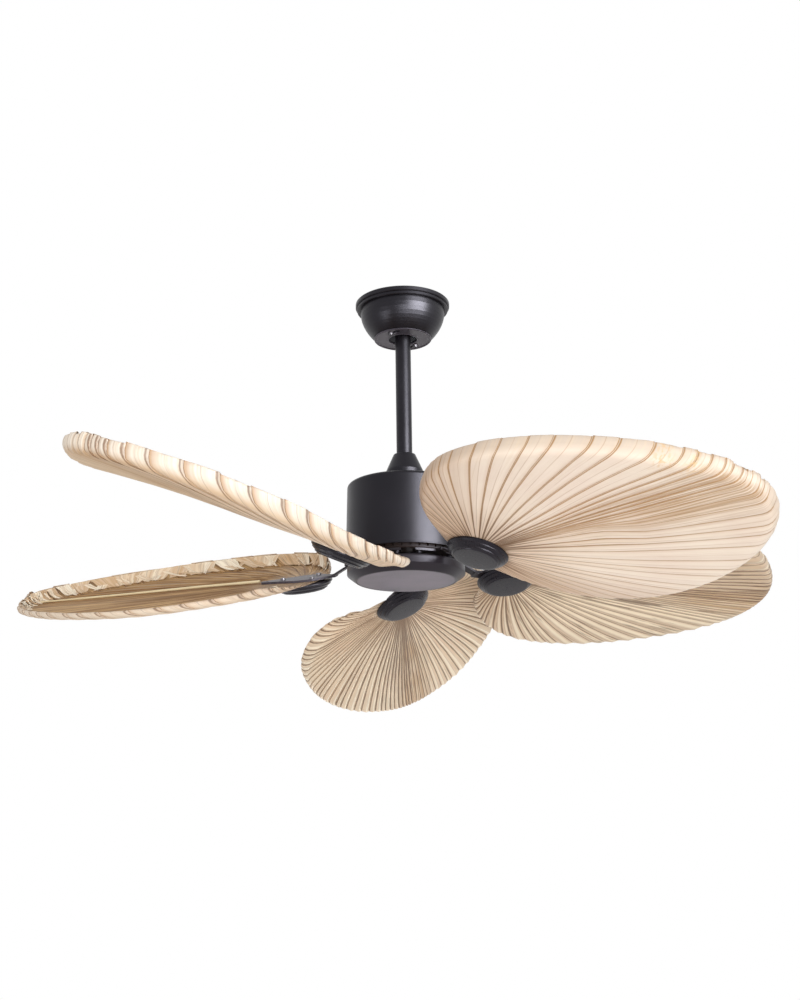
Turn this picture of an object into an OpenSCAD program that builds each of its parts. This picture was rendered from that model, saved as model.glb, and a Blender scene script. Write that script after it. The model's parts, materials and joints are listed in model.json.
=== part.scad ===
// Five-leaf ceiling fan on a short downrod.
// Origin: centre of the ceiling bracket's top face. +Z up, everything hangs below.

/* [Canopy] */
// Diameter over the canopy's upper bead
canopy_d = 130.2; // [124:0.2:140]
// Height of the canopy from ceiling to foot
canopy_h = 50.6; // [49:0.2:58]
// Height of the upper bead
bead_upper_h = 6.7; // [5:0.1:7.5]
// Height of the lower bead
bead_lower_h = 4.2; // [3:0.1:5]
// Width of the step from bead to bead
bead_step = 2.1; // [1.4:0.1:2.6]
// Width of the step from the lower bead to the bowl
bowl_step = 4.6; // [3:0.1:6]
// Diameter of the canopy's flat foot
canopy_foot_d = 80; // [76:0.5:88]
// Sheet thickness of the canopy
canopy_wall = 1.2; // [0.8:0.1:1.6]
// Diameter of the hole round the rod
canopy_hole_d = 39; // [37:0.5:42]
// Thickness of the round plate under the canopy
canopy_cover_t = 2.6; // [2:0.1:3.5]

/* [Ceiling bracket] */
// Length of the bracket's top plate
bracket_len = 112; // [108:1:114]
// Width of the bracket's top plate
bracket_w = 60; // [56:1:64]
// Sheet thickness of the bracket
bracket_t = 2; // [1.5:0.1:2.5]
// Distance between the two ceiling slots
slot_spacing = 89; // [84:0.5:92]
// Width of a ceiling slot
slot_w = 5; // [4:0.1:6]
// End-to-end length of a ceiling slot
slot_len = 14; // [10:0.5:16]
// Diameter of the wire hole in the top plate
wire_hole_d = 26; // [16:1:30]
// Direction of the two canopy screws, from +X
screw_dir = 53; // [48:1:58]
// Radius of the canopy screws' circle
screw_r = 28; // [27:0.5:30]

/* [Hanger ball] */
// Diameter of the hanger ball
ball_d = 42; // [40:0.5:44]
// Depth of the ball's centre below the ceiling
ball_depth = 26; // [25:0.5:28]
// Thickness of the plastic seat between ball and bracket
liner_t = 1.2; // [1:0.1:1.6]
// Thickness of the bracket's socket
socket_t = 2.5; // [2:0.1:3]
// Gap on each side of the seat
ball_gap = 0.3; // [0.2:0.05:0.4]

/* [Downrod] */
// Outer diameter of the rod
rod_d = 21.3; // [20:0.1:22]
// Wall of the rod
rod_wall = 2; // [1.5:0.1:3]
// Length of rod that shows
rod_shown = 166.5; // [140:0.5:600]
// Diameter of the cross pins
pin_d = 6; // [5:0.5:7]

/* [Coupling cover] */
// Height of the cone over the coupler
cone_h = 43.6; // [42:0.1:50]
// Base diameter of the cone
cone_d = 50; // [47:0.5:52]
// Diameter of the cone's top
cone_top_d = 30; // [27:0.1:32]
// Height of the sloping part under the cone's top
cone_slope_h = 24; // [20:0.5:30]
// Wall of the cone
cone_wall = 1.2; // [0.8:0.1:1.4]

/* [Motor housing] */
// Height of the housing
housing_h = 97.4; // [95:0.1:110]
// Diameter at the top of the side wall
housing_top_d = 155; // [153:0.5:158]
// Diameter at the foot of the side wall
housing_foot_d = 159; // [157:0.5:163]
// Radius of the top edge
housing_round = 4.5; // [4:0.5:9]
// Wall of the housing
housing_wall = 1.5; // [1:0.1:2]

/* [Motor] */
// Diameter of the hollow motor shaft
shaft_d = 16; // [14:0.5:17]
// Bore of the motor shaft
shaft_bore_d = 10; // [8:0.5:11]
// Diameter of the turning motor shell
rotor_d = 132; // [128:1:138]
// Diameter of the stator stack
stator_d = 101; // [96:1:102]
// Thickness of the stator stack
stator_h = 25; // [18:1:28]
// Number of stator slots
slot_count = 12; // [8:1:18]
// Outer diameter of the bearings
bearing_d = 26; // [24:1:28]
// Width of the bearings
bearing_w = 8; // [7:0.5:9]
// Gap between the flywheel that carries the arms and the housing's foot
flywheel_gap = 5; // [3:0.5:6]
// Height of the flywheel
flywheel_h = 16; // [14:0.5:17]
// Number of vent slots round the flywheel
vent_count = 40; // [20:1:60]

/* [Switch housing] */
// Open gap between motor housing and switch housing
rotor_gap = 13.3; // [12:0.1:18]
// Height of the switch housing
cap_h = 20.3; // [19:0.1:30]
// Diameter of the switch housing
cap_d = 156; // [152:0.5:160]
// Diameter of the round cover plate
cap_plate_d = 130; // [124:0.5:134]
// Wall of the switch housing
cap_wall = 1.5; // [1:0.1:2]

/* [Blade arms] */
// Number of blades
blade_count = 5; // [5:1:5]
// Direction of the first arm, from +X towards the viewer
blade_start = 51.85; // [0:0.05:72]
// Distance from the fan's axis to a medallion's centre
arm_r = 144.2; // [140:0.2:160]
// Drop from the arm's root to the leaf
leaf_drop = 16.1; // [14:0.1:20]
// Thickness of the arm plates
arm_t = 3; // [2.5:0.1:3.5]
// Widest part of an arm plate
arm_w = 48; // [40:1:52]
// Width of an arm's neck
neck_w = 14; // [10:0.5:16]
// Diameter of a medallion
medallion_d = 79; // [72:0.5:82]
// Height of a medallion
medallion_h = 13; // [11:0.5:15]

/* [Leaves] */
// Length of a leaf
leaf_len = 450; // [420:1:480]
// Width of a leaf
leaf_w = 360; // [330:1:370]
// Reach of a leaf behind the medallion's centre
leaf_back = 26; // [22:0.5:34]
// How much the leaf narrows towards its tip
leaf_egg = 0.22; // [0.1:0.01:0.3]
// Thickness of the leaf
leaf_t = 2.4; // [1.6:0.1:3]
// Height of the folded rim
rim_h = 20; // [14:0.5:24]
// Thickness of the folded rim
rim_t = 3.5; // [2.5:0.1:5]
// Height of a pleat
pleat_h = 3; // [1:0.1:4]
// Number of pleats
pleat_count = 42; // [30:3:48]
// Step of one fold over the next along the rim
fold_step = 2; // [0.5:0.1:3]
// Diameter of the stick along a leaf
stick_d = 4; // [3:0.5:5]

/* [Hidden] */
$fn = 96;

// The leaves are natural, so each one hangs and measures a little differently.
blade_pitch = [18.8, 25.1, 21.5, 22.4, 15.1];
blade_droop = [2.4, -2.0, 1.5, 14.1, 0.4];
// How far an arm hangs below the first one, at the medallion
arm_drop = [0, 0, 2.5, 11.2, 0];
leaf_skew = [2.2, 0.3, -3.8, -4.9, 2.7];
leaf_len_share = [1.00, 1.04, 1.01, 1.005, 0.985];
leaf_w_share = [0.98, 0.93, 1.04, 0.89, 1.03];
// Share of the rim's height that stands along the lower edge, where one leaf is folded flatter
low_rim_share = [1, 1, 0.5, 1, 1];

// Clearances
eps = 0.01;
fit = 0.03;       // shaft in bore, per side
hole_gap = 0.05;  // screw in hole, per side
seat_gap = 0.1;   // plate on plate
air = 0.3;        // pieces of different bodies

// Heights, from the ceiling down
z_foot = -canopy_h;
z_cover = z_foot - canopy_cover_t;
z_cone_top = z_cover - rod_shown;
z_cone_foot = z_cone_top - cone_h;
z_top = z_cone_foot - air;
z_housing_foot = z_top - housing_h;
arm_seat_drop = 5;
z_arm = z_housing_foot - arm_seat_drop;
z_cap = z_housing_foot - rotor_gap;
z_cap_foot = z_cap - cap_h;
z_leaf = z_arm - leaf_drop;
z_ball = -ball_depth;

// Canopy
canopy_r = canopy_d / 2;
bowl_r = canopy_r - bead_step - bowl_step;
bowl_top = bead_upper_h + bead_lower_h + 1.6;
foot_r = canopy_foot_d / 2;
canopy_hole_r = canopy_hole_d / 2;
screw_shank_r = 2;
screw_head_r = 3.9;
screw_head_h = 2.4;

// Bracket
leg_r = screw_r + 5.5;
leg_w = 16;
foot_t = 2.5;
ground_x = 30;
ground_y = 8 - bracket_w / 2;
plate_clip_r = bowl_r - canopy_wall - 1.8;

// Ball and socket
ball_r = ball_d / 2;
ball_up = 13;
ball_down = 17;
liner_r = ball_r + ball_gap;
socket_r = liner_r + liner_t + ball_gap;
key_dir = screw_dir - 90;
entry_dir = screw_dir + 90;
key_w = 3.5;
entry_w = rod_d + 2;
rod_r = rod_d / 2;
pin_r = pin_d / 2;
ball_pin_up = 4;
ball_screw_down = 6;

// Coupler, under the cone
coupler_h = 33;
coupler_flange_t = 3;
coupler_r = rod_r + 3.85;
coupler_flange_r = cone_d / 2 - cone_wall - 0.8;
z_coupler = z_top + coupler_h;
z_rod_end = z_top + 12.9;
z_coupler_pin = z_top + 19.5;
z_coupler_screw = z_top + 28.4;
clip_out = 1.1;
housing_screw_r = coupler_flange_r - 3.3;
small_shank_r = 1.5;
small_head_r = 2.75;
small_head_h = 2;

// Motor, inside the housing
housing_top_r = housing_top_d / 2;
housing_foot_r = housing_foot_d / 2;
shaft_r = shaft_d / 2;
shaft_flange_r = coupler_flange_r + 1;
shaft_flange_t = 3.6;
z_inner = z_top - housing_wall;
z_shaft_top = z_rod_end - 2;
rotor_r = rotor_d / 2;
stator_r = stator_d / 2;
bell_t = 3;
air_gap = 1;
z_fly_top = z_arm + flywheel_h;
z_rotor_top = z_inner - shaft_flange_t - 11;
z_core_mid = (z_rotor_top + z_fly_top) / 2;
core_ring_h = stator_h + 6;
bearing_r = bearing_d / 2;
boss_r = bearing_r + 5;
rotor_bolt_r = rotor_r - 6;
rotor_bolt_shank_r = 2;
winding_in = boss_r + 5;
winding_out = stator_r - 5;
winding_h = 6.5;
winding_slot_w = 5;

// Flywheel and arms
fly_r = housing_foot_r - housing_wall - flywheel_gap;
arm_screw_r = fly_r - 9;
arm_screw_angle = 23;
arm_shank_r = 2.5;
arm_head_r = 4.3;
arm_head_h = 2.8;
root_in = arm_screw_r - 9;
root_out = arm_screw_r + 8;
root_angle = 28.4;
neck_start = root_out + 11;
fly_screw_r = root_in - 7;
fly_in = fly_screw_r - 8;
link_bite = 4;

// Switch housing
cap_r = cap_d / 2;
cap_plate_r = cap_plate_d / 2;
cap_round = 3.7;
cap_wall_h = 11.6;
cap_plate_t = 1.5;
cap_ledge_in = cap_plate_r - 3;
collar_r = 12;
collar_h = rotor_gap - arm_seat_drop - 2;
nut_h = 6;
shaft_tail = 2.2;

// Blade plates, measured from a medallion's centre
med_r = medallion_d / 2;
plate_back = 48;
plate_tip = 60;
blade_screws_at = [[28, 0], [-18, 15], [-18, -15]];
screw_depth = 5;

// Leaf mesh
leaf_flat = plate_tip + 2;
cols = 2 * pleat_count;
rim_free = 9;
rim_full = 24;

function z_dir(i) = -(blade_start + 360 / blade_count * i);

// ---------------------------------------------------------------- helpers

// Places children in the plane of blade i: x outwards, z up through the leaf.
module on_blade(i) {
    rotate([0, 0, z_dir(i)])
        translate([arm_r, 0, z_leaf - arm_drop[i]])
            rotate([0, blade_droop[i], 0])
                rotate([-blade_pitch[i], 0, 0])
                    children();
}

module tube(r_out, r_in, z_low, z_high) {
    difference() {
        translate([0, 0, z_low]) cylinder(r = r_out, h = z_high - z_low);
        translate([0, 0, z_low - 1]) cylinder(r = r_in, h = z_high - z_low + 2);
    }
}

// A slot of full length len and width w along X, cut from z_low to z_high
module slot(len, w, z_low, z_high) {
    for (side = [-1, 1])
        translate([side * (len - w) / 2, 0, z_low]) cylinder(r = w / 2, h = z_high - z_low);
    translate([-(len - w) / 2, -w / 2, z_low]) cube([len - w, w, z_high - z_low]);
}

// Pan-head screw with its head's seat at z = 0 and its shank going up
module screw_up(shank_r, shank_h, head_r, head_h) {
    cylinder(r = shank_r, h = shank_h);
    difference() {
        translate([0, 0, -head_h]) cylinder(r1 = head_r * 0.8, r2 = head_r, h = head_h);
        for (a = [0, 90])
            rotate([0, 0, a])
                translate([-head_r * 0.55, -head_r * 0.11, -head_h - 1])
                    cube([head_r * 1.1, head_r * 0.22, 1 + head_h * 0.45]);
    }
}

// The same screw upside down
module screw_down(shank_r, shank_h, head_r, head_h) {
    rotate([180, 0, 0]) screw_up(shank_r, shank_h, head_r, head_h);
}

// ---------------------------------------------------------------- ceiling mount

module hanger_bracket() {
    foot_z = z_foot + canopy_wall;
    color("lightsteelblue") difference() {
        union() {
            intersection() {
                translate([0, 0, -bracket_t]) cylinder(r = plate_clip_r, h = bracket_t);
                translate([-bracket_len / 2, -bracket_w / 2, -bracket_t])
                    cube([bracket_len, bracket_w, bracket_t]);
            }
            for (side = [0, 180]) rotate([0, 0, screw_dir + side]) {
                translate([leg_r, -leg_w / 2, foot_z]) cube([bracket_t, leg_w, -foot_z - eps]);
                translate([screw_r - 4.5, -leg_w / 2, foot_z])
                    cube([leg_r - screw_r + 4.5 + eps, leg_w, foot_t]);
                translate([socket_r - 0.3, -leg_w / 2, z_ball - 10])
                    cube([leg_r - socket_r + 0.3 + eps, leg_w, 3]);
            }
            difference() {
                intersection() {
                    translate([0, 0, z_ball]) sphere(r = socket_r + socket_t);
                    translate([0, 0, z_ball - 16]) cylinder(r = 2 * ball_r, h = 12);
                }
                translate([0, 0, z_ball]) sphere(r = socket_r);
                rotate([0, 0, entry_dir])
                    translate([0, -entry_w / 2, z_ball - ball_d]) cube([ball_d, entry_w, ball_d]);
            }
            rotate([0, 0, key_dir])
                translate([ball_r - 1.5, -key_w / 2, z_ball - 10])
                    cube([socket_r - ball_r + 2.5, key_w, 5.5]);
        }
        translate([0, 0, -bracket_t - 1]) cylinder(r = wire_hole_d / 2, h = bracket_t + 2);
        for (side = [-1, 1])
            translate([side * slot_spacing / 2, 0, 0]) slot(slot_len, slot_w, -bracket_t - 1, 1);
        for (side = [0, 180]) rotate([0, 0, screw_dir + side])
            translate([screw_r, 0, foot_z - 1]) cylinder(r = screw_shank_r + hole_gap, h = foot_t + 2);
        translate([ground_x, ground_y, -bracket_t - 1])
            cylinder(r = screw_shank_r + hole_gap, h = bracket_t + 2);
    }
}

function canopy_arc(r_low, r_high, z_high, z_low, from, to, step) =
    [for (a = [from : step : to])
        [r_low + (r_high - r_low) * pow(cos(a), 2), z_high - (z_high - z_low) * sin(a)]];

module canopy() {
    bead_bottom = -bead_upper_h - bead_lower_h;
    edge = 1;
    color([0.10, 0.10, 0.11]) difference() {
        rotate_extrude() polygon(concat(
            [
                [canopy_r - edge, 0],
                [canopy_r, -edge],
                [canopy_r, -bead_upper_h + 1.2],
                [canopy_r - 0.9, -bead_upper_h + 0.2],
                [canopy_r - bead_step, -bead_upper_h],
                [canopy_r - bead_step, bead_bottom + 0.9],
                [canopy_r - bead_step - 0.8, bead_bottom],
                [bowl_r, bead_bottom],
            ],
            canopy_arc(foot_r, bowl_r, -bowl_top, z_foot, 0, 90, 9),
            [[canopy_hole_r + 1, z_foot], [canopy_hole_r + 1, z_foot + canopy_wall]],
            canopy_arc(foot_r, bowl_r - canopy_wall, -bowl_top, z_foot + canopy_wall, 90, 0, -9),
            [[bowl_r - canopy_wall, 0]]
        ));
        for (side = [0, 180]) rotate([0, 0, screw_dir + side])
            translate([screw_r, 0, z_foot - 1]) cylinder(r = screw_shank_r + hole_gap, h = canopy_wall + 2);
    }
}

module canopy_cover() {
    key_r = screw_head_r + 0.7;
    narrow_r = screw_shank_r + 0.3;
    slot_run = 11;
    lip = 0.9;
    color([0.42, 0.42, 0.43]) difference() {
        rotate_extrude() polygon([
            [canopy_hole_r, z_foot - seat_gap],
            [foot_r - 1.2, z_foot - seat_gap],
            [foot_r - 0.4, z_foot - 0.6],
            [foot_r - 0.4, z_cover + 0.7],
            [foot_r - 1.1, z_cover],
            [foot_r - 2.2, z_cover],
            [foot_r - 3, z_cover + lip],
            [canopy_hole_r + 1.6, z_cover + lip],
            [canopy_hole_r + 1.2, z_cover + 0.3],
            [canopy_hole_r, z_cover + 0.3]
        ]);
        for (side = [0, 180]) rotate([0, 0, screw_dir + side]) {
            translate([screw_r, 0, z_cover - 1]) cylinder(r = narrow_r, h = canopy_cover_t + 2);
            translate([screw_r - narrow_r, 0, z_cover - 1])
                cube([2 * narrow_r, slot_run, canopy_cover_t + 2]);
            translate([screw_r, slot_run, z_cover - 1]) cylinder(r = key_r, h = canopy_cover_t + 2);
        }
    }
}

module canopy_screws() {
    lip = 0.9;
    color("silver") for (side = [0, 180]) rotate([0, 0, screw_dir + side])
        translate([screw_r, 0, z_cover + lip - seat_gap])
            screw_up(screw_shank_r, canopy_cover_t + canopy_wall + foot_t + 1.2, screw_head_r, screw_head_h);
}

module terminal_block() {
    block = [30, 11, 9];
    color("ivory") translate([0, bracket_w / 2 - block[1] / 2 - 2, -bracket_t - block[2] / 2]) difference() {
        cube(block, center = true);
        for (x = [-10, 0, 10]) {
            translate([x, 0, -block[2] / 2]) cylinder(r = 2, h = 5, center = true);
            translate([x, 0, -1]) rotate([90, 0, 0]) cylinder(r = 1.6, h = block[1] + 2, center = true);
        }
    }
}

module ground_screw() {
    color("green") translate([ground_x, ground_y, -bracket_t])
        screw_up(screw_shank_r, bracket_t - 0.4, screw_head_r, screw_head_h);
}

// ---------------------------------------------------------------- ball seat

module ball_liner() {
    color("white") difference() {
        intersection() {
            translate([0, 0, z_ball]) sphere(r = liner_r + liner_t);
            translate([0, 0, z_ball - 15.5]) cylinder(r = 2 * ball_r, h = 12);
        }
        translate([0, 0, z_ball]) sphere(r = liner_r);
        rotate([0, 0, entry_dir])
            translate([0, -entry_w / 2 - 2, z_ball - ball_d]) cube([ball_d, entry_w + 4, ball_d]);
        rotate([0, 0, key_dir])
            translate([0, -key_w, z_ball - ball_d]) cube([ball_d, 2 * key_w, ball_d]);
    }
}

// ---------------------------------------------------------------- stem

module hanger_ball() {
    color([0.12, 0.12, 0.13]) difference() {
        intersection() {
            translate([0, 0, z_ball]) sphere(r = ball_r);
            translate([0, 0, z_ball - ball_down]) cylinder(r = 2 * ball_r, h = ball_up + ball_down);
        }
        translate([0, 0, z_ball - ball_d]) cylinder(r = rod_r + hole_gap, h = 2 * ball_d);
        rotate([0, 0, key_dir])
            translate([ball_r - 3.8, -key_w - 0.6, z_ball - ball_d])
                cube([ball_d, 2 * key_w + 1.2, 2 * ball_d]);
        rotate([0, 0, screw_dir])
            translate([0, 0, z_ball + ball_pin_up]) rotate([0, 90, 0])
                cylinder(r = pin_r + hole_gap, h = 3 * ball_d, center = true);
        rotate([0, 0, entry_dir])
            translate([rod_r, 0, z_ball - ball_screw_down]) rotate([0, 90, 0])
                cylinder(r = small_shank_r + 1 + hole_gap, h = ball_d);
    }
}

module ball_pin() {
    color("silver") rotate([0, 0, screw_dir])
        translate([0, 0, z_ball + ball_pin_up]) rotate([0, 90, 0])
            cylinder(r = pin_r, h = 2 * ball_r - 8, center = true);
}

module ball_set_screw() {
    color("dimgray") rotate([0, 0, entry_dir])
        translate([rod_r + 0.1, 0, z_ball - ball_screw_down]) rotate([0, 90, 0]) difference() {
            cylinder(r = small_shank_r + 1, h = 7);
            translate([0, 0, 4.5]) cylinder(r = 1.4, h = 4, $fn = 6);
        }
}

module downrod() {
    color([0.11, 0.11, 0.12]) difference() {
        tube(rod_r, rod_r - rod_wall, z_rod_end, z_ball + ball_up - 1);
        rotate([0, 0, screw_dir])
            translate([0, 0, z_ball + ball_pin_up]) rotate([0, 90, 0])
                cylinder(r = pin_r + hole_gap, h = 2 * rod_d, center = true);
        translate([0, 0, z_coupler_pin]) rotate([90, 0, 0])
            cylinder(r = pin_r + hole_gap, h = 2 * rod_d, center = true);
    }
}

module motor_coupler() {
    color("gray") difference() {
        union() {
            translate([0, 0, z_top + coupler_flange_t - eps])
                cylinder(r = coupler_r, h = coupler_h - coupler_flange_t + eps);
            translate([0, 0, z_top]) cylinder(r = coupler_flange_r, h = coupler_flange_t);
        }
        translate([0, 0, z_rod_end - air]) cylinder(r = rod_r + hole_gap, h = coupler_h);
        translate([0, 0, z_top - 1]) cylinder(r = shaft_r + fit, h = coupler_h);
        translate([0, 0, z_coupler_pin]) rotate([90, 0, 0])
            cylinder(r = pin_r + hole_gap, h = 4 * coupler_r, center = true);
        translate([0, 0, z_coupler_screw]) rotate([0, 90, 0])
            cylinder(r = small_shank_r + 1 + hole_gap, h = 4 * coupler_r, center = true);
        housing_screw_places() translate([0, 0, z_top - 1])
            cylinder(r = small_shank_r + hole_gap, h = coupler_flange_t + 2);
    }
}

module housing_screw_places() {
    for (a = [0, 120, 240]) rotate([0, 0, a + 30]) translate([housing_screw_r, 0, 0]) children();
}

module coupler_pin() {
    head_t = 1.4;
    color("silver") difference() {
        translate([0, 0, z_coupler_pin]) rotate([-90, 0, 0]) {
            translate([0, 0, -coupler_r - seat_gap]) cylinder(r = pin_r, h = 2 * coupler_r + 2.3);
            translate([0, 0, -coupler_r - seat_gap - head_t]) cylinder(r = pin_r + 1, h = head_t + eps);
        }
        translate([0, coupler_r + clip_out, z_coupler_pin]) cylinder(r = 0.6, h = 4 * pin_r, center = true);
    }
}

module coupler_clip() {
    wire_r = 0.55;
    color("gold") translate([0, coupler_r + clip_out, z_coupler_pin]) {
        translate([0, 0, -pin_r - 1]) cylinder(r = wire_r, h = 2 * pin_r + 2, $fn = 24);
        for (side = [-1, 1]) translate([0, 0, side * (pin_r + 0.9)]) sphere(r = 0.85, $fn = 24);
    }
}

module coupler_set_screws() {
    color("dimgray") for (side = [0, 180]) rotate([0, 0, side])
        translate([rod_r + 0.1, 0, z_coupler_screw]) rotate([0, 90, 0]) difference() {
            cylinder(r = small_shank_r + 1, h = coupler_r - rod_r - 0.4);
            translate([0, 0, 1.8]) cylinder(r = 1.3, h = 4, $fn = 6);
        }
}

function housing_outline(wall) =
    let (
        r_top = housing_top_r - wall,
        r_foot = housing_foot_r - wall,
        z = z_top - wall,
        rr = housing_round - wall
    )
    concat(
        [for (a = [90 : -15 : 0]) [r_top - rr + rr * cos(a), z - rr + rr * sin(a)]],
        [[r_foot, z_housing_foot + 1.6 - wall / 10]]
    );

module motor_housing() {
    lip = 0.7;
    outer = housing_outline(0);
    inner = housing_outline(housing_wall);
    last = len(inner) - 1;
    color([0.10, 0.10, 0.12]) difference() {
        rotate_extrude() polygon(concat(
            [[shaft_r + 0.4, z_top]],
            outer,
            [
                [housing_foot_r + lip, z_housing_foot + 1],
                [housing_foot_r + lip, z_housing_foot],
                [housing_foot_r - housing_wall, z_housing_foot]
            ],
            [for (k = [last : -1 : 0]) inner[k]],
            [[shaft_r + 0.4, z_inner]]
        ));
        housing_screw_places() translate([0, 0, z_inner - 1])
            cylinder(r = small_shank_r + hole_gap, h = housing_wall + 2);
    }
}

module housing_screws() {
    reach = coupler_flange_t + housing_wall + shaft_flange_t - 0.6;
    color("dimgray") housing_screw_places() translate([0, 0, z_top + coupler_flange_t + seat_gap / 2])
        screw_down(small_shank_r, reach, small_head_r, small_head_h);
}

module stator_shaft() {
    z_shaft_foot = z_cap - cap_wall - nut_h - shaft_tail;
    color("silver") difference() {
        union() {
            translate([0, 0, z_shaft_foot]) cylinder(r = shaft_r, h = z_shaft_top - z_shaft_foot);
            translate([0, 0, z_inner - shaft_flange_t]) cylinder(r = shaft_flange_r, h = shaft_flange_t);
            translate([0, 0, z_cap]) cylinder(r = collar_r, h = collar_h);
        }
        translate([0, 0, z_cap_foot - 1]) cylinder(r = shaft_bore_d / 2, h = z_shaft_top - z_cap_foot + 2);
        housing_screw_places() translate([0, 0, z_inner - shaft_flange_t - 1])
            cylinder(r = small_shank_r + hole_gap, h = shaft_flange_t + 2);
    }
}

module stator_core() {
    color("slategray") difference() {
        translate([0, 0, z_core_mid - stator_h / 2]) cylinder(r = stator_r, h = stator_h);
        translate([0, 0, z_core_mid - stator_h]) cylinder(r = shaft_r + fit, h = 2 * stator_h);
        for (k = [0 : slot_count - 1]) rotate([0, 0, 360 / slot_count * k]) {
            translate([winding_in, -winding_slot_w / 2, z_core_mid - stator_h])
                cube([winding_out - winding_in, winding_slot_w, 2 * stator_h]);
            translate([winding_out - 1, -1, z_core_mid - stator_h])
                cube([stator_r - winding_out + 3, 2, 2 * stator_h]);
        }
    }
}

module stator_windings() {
    gap = 0.3;
    color("peru") {
        for (side = [-1, 1])
            translate([0, 0, z_core_mid + side * (stator_h / 2 + gap + winding_h / 2)]) difference() {
                cylinder(r = winding_out, h = winding_h, center = true);
                cylinder(r = winding_in, h = winding_h + 2, center = true);
            }
        for (k = [0 : slot_count - 1]) rotate([0, 0, 360 / slot_count * k])
            translate([winding_in + gap, -winding_slot_w / 2 + gap, z_core_mid - stator_h / 2 - gap - 1])
                cube([winding_out - winding_in - 2 * gap, winding_slot_w - 2 * gap, stator_h + 2 * gap + 2]);
    }
}

function cap_outline(wall) =
    let (r = cap_r - wall, top = z_cap - wall, rr = cap_round - wall)
    concat(
        [for (a = [90 : -18 : 0]) [r - rr + rr * cos(a), top - rr + rr * sin(a)]],
        [for (a = [0 : 15 : 75])
            [cap_plate_r + 1.5 + (r - cap_plate_r - 1.5) * pow(1 - sin(a), 0.9),
             z_cap - cap_wall_h - (cap_h - cap_wall_h) * sin(a) + (a > 0 ? wall : 0)]]
    );

module switch_housing() {
    outer = cap_outline(0);
    inner = cap_outline(cap_wall);
    last = len(inner) - 2;
    ledge_z = z_cap_foot + cap_plate_t;
    color([0.12, 0.12, 0.13]) rotate_extrude() polygon(concat(
        [[shaft_r + fit, z_cap]],
        outer,
        [
            [cap_plate_r + 0.9, z_cap_foot],
            [cap_plate_r + 0.2, z_cap_foot],
            [cap_plate_r + 0.2, ledge_z],
            [cap_ledge_in, ledge_z],
            [cap_ledge_in, ledge_z + 1.2]
        ],
        [for (k = [last : -1 : 0]) inner[k]],
        [[shaft_r + fit, z_cap - cap_wall]]
    ));
}

module shaft_nut() {
    color("silver") difference() {
        translate([0, 0, z_cap - cap_wall - nut_h]) cylinder(r = 13, h = nut_h, $fn = 6);
        translate([0, 0, z_cap - cap_wall - nut_h - 1]) cylinder(r = shaft_r + fit, h = nut_h + 2);
    }
}

module capacitor() {
    body_size = [40, 24, 13];
    color("black") translate([-body_size[0] / 2, 22, z_cap - cap_wall - body_size[2]]) cube(body_size);
}

module control_board() {
    board = [56, 30, 1.6];
    post = 6.5;
    z_board = z_cap - cap_wall - post - board[2];
    y_board = -24 - board[1];
    color("darkgreen") {
        translate([-board[0] / 2, y_board, z_board]) cube(board);
        for (x = [-board[0] / 2 + 4, board[0] / 2 - 4], y = [y_board + 4, y_board + board[1] - 4])
            translate([x, y, z_board + board[2] - eps]) cylinder(r = 2.5, h = post + eps, $fn = 24);
        translate([-18, y_board + 8, z_board - 5]) cube([14, 12, 5 + eps]);
        translate([4, y_board + 8, z_board - 4]) cube([18, 8, 4 + eps]);
    }
}

module bottom_cover() {
    spigot_h = 4;
    color([0.50, 0.50, 0.50]) rotate_extrude() polygon([
        [0, z_cap_foot],
        [cap_plate_r - 0.6, z_cap_foot],
        [cap_plate_r, z_cap_foot + 0.5],
        [cap_plate_r, z_cap_foot + cap_plate_t],
        [cap_ledge_in - 0.2, z_cap_foot + cap_plate_t],
        [cap_ledge_in - 0.2, z_cap_foot + spigot_h],
        [cap_ledge_in - 1.7, z_cap_foot + spigot_h],
        [cap_ledge_in - 1.7, z_cap_foot + cap_plate_t],
        [0, z_cap_foot + cap_plate_t]
    ]);
}

// ---------------------------------------------------------------- coupling cover

module coupling_cover() {
    color([0.11, 0.11, 0.12]) rotate_extrude() polygon([
        [rod_r + air, z_cone_top],
        [cone_top_d / 2 - 1.2, z_cone_top],
        [cone_top_d / 2 - 0.3, z_cone_top - 0.4],
        [cone_top_d / 2 + 0.3, z_cone_top - 1.4],
        [cone_d / 2 - 0.6, z_cone_top - cone_slope_h + 2],
        [cone_d / 2, z_cone_top - cone_slope_h],
        [cone_d / 2, z_cone_foot],
        [cone_d / 2 - cone_wall, z_cone_foot],
        [cone_d / 2 - cone_wall, z_cone_top - cone_slope_h - cone_wall / 2],
        [cone_top_d / 2 - cone_wall, z_cone_top - 2 * cone_wall],
        [rod_r + air, z_cone_top - 2 * cone_wall]
    ]);
}

// ---------------------------------------------------------------- rotor

z_bearing_up = z_rotor_top - bell_t - bearing_w + 2;
z_bearing_low = z_fly_top + 2;

module upper_bearing() {
    color("silver") tube(bearing_r, shaft_r + fit, z_bearing_up, z_bearing_up + bearing_w);
}

module lower_bearing() {
    color("silver") tube(bearing_r, shaft_r + fit, z_bearing_low, z_bearing_low + bearing_w);
}

module bolt_places() {
    for (a = [45, 135, 225, 315]) rotate([0, 0, a]) translate([rotor_bolt_r, 0, 0]) children();
}

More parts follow.
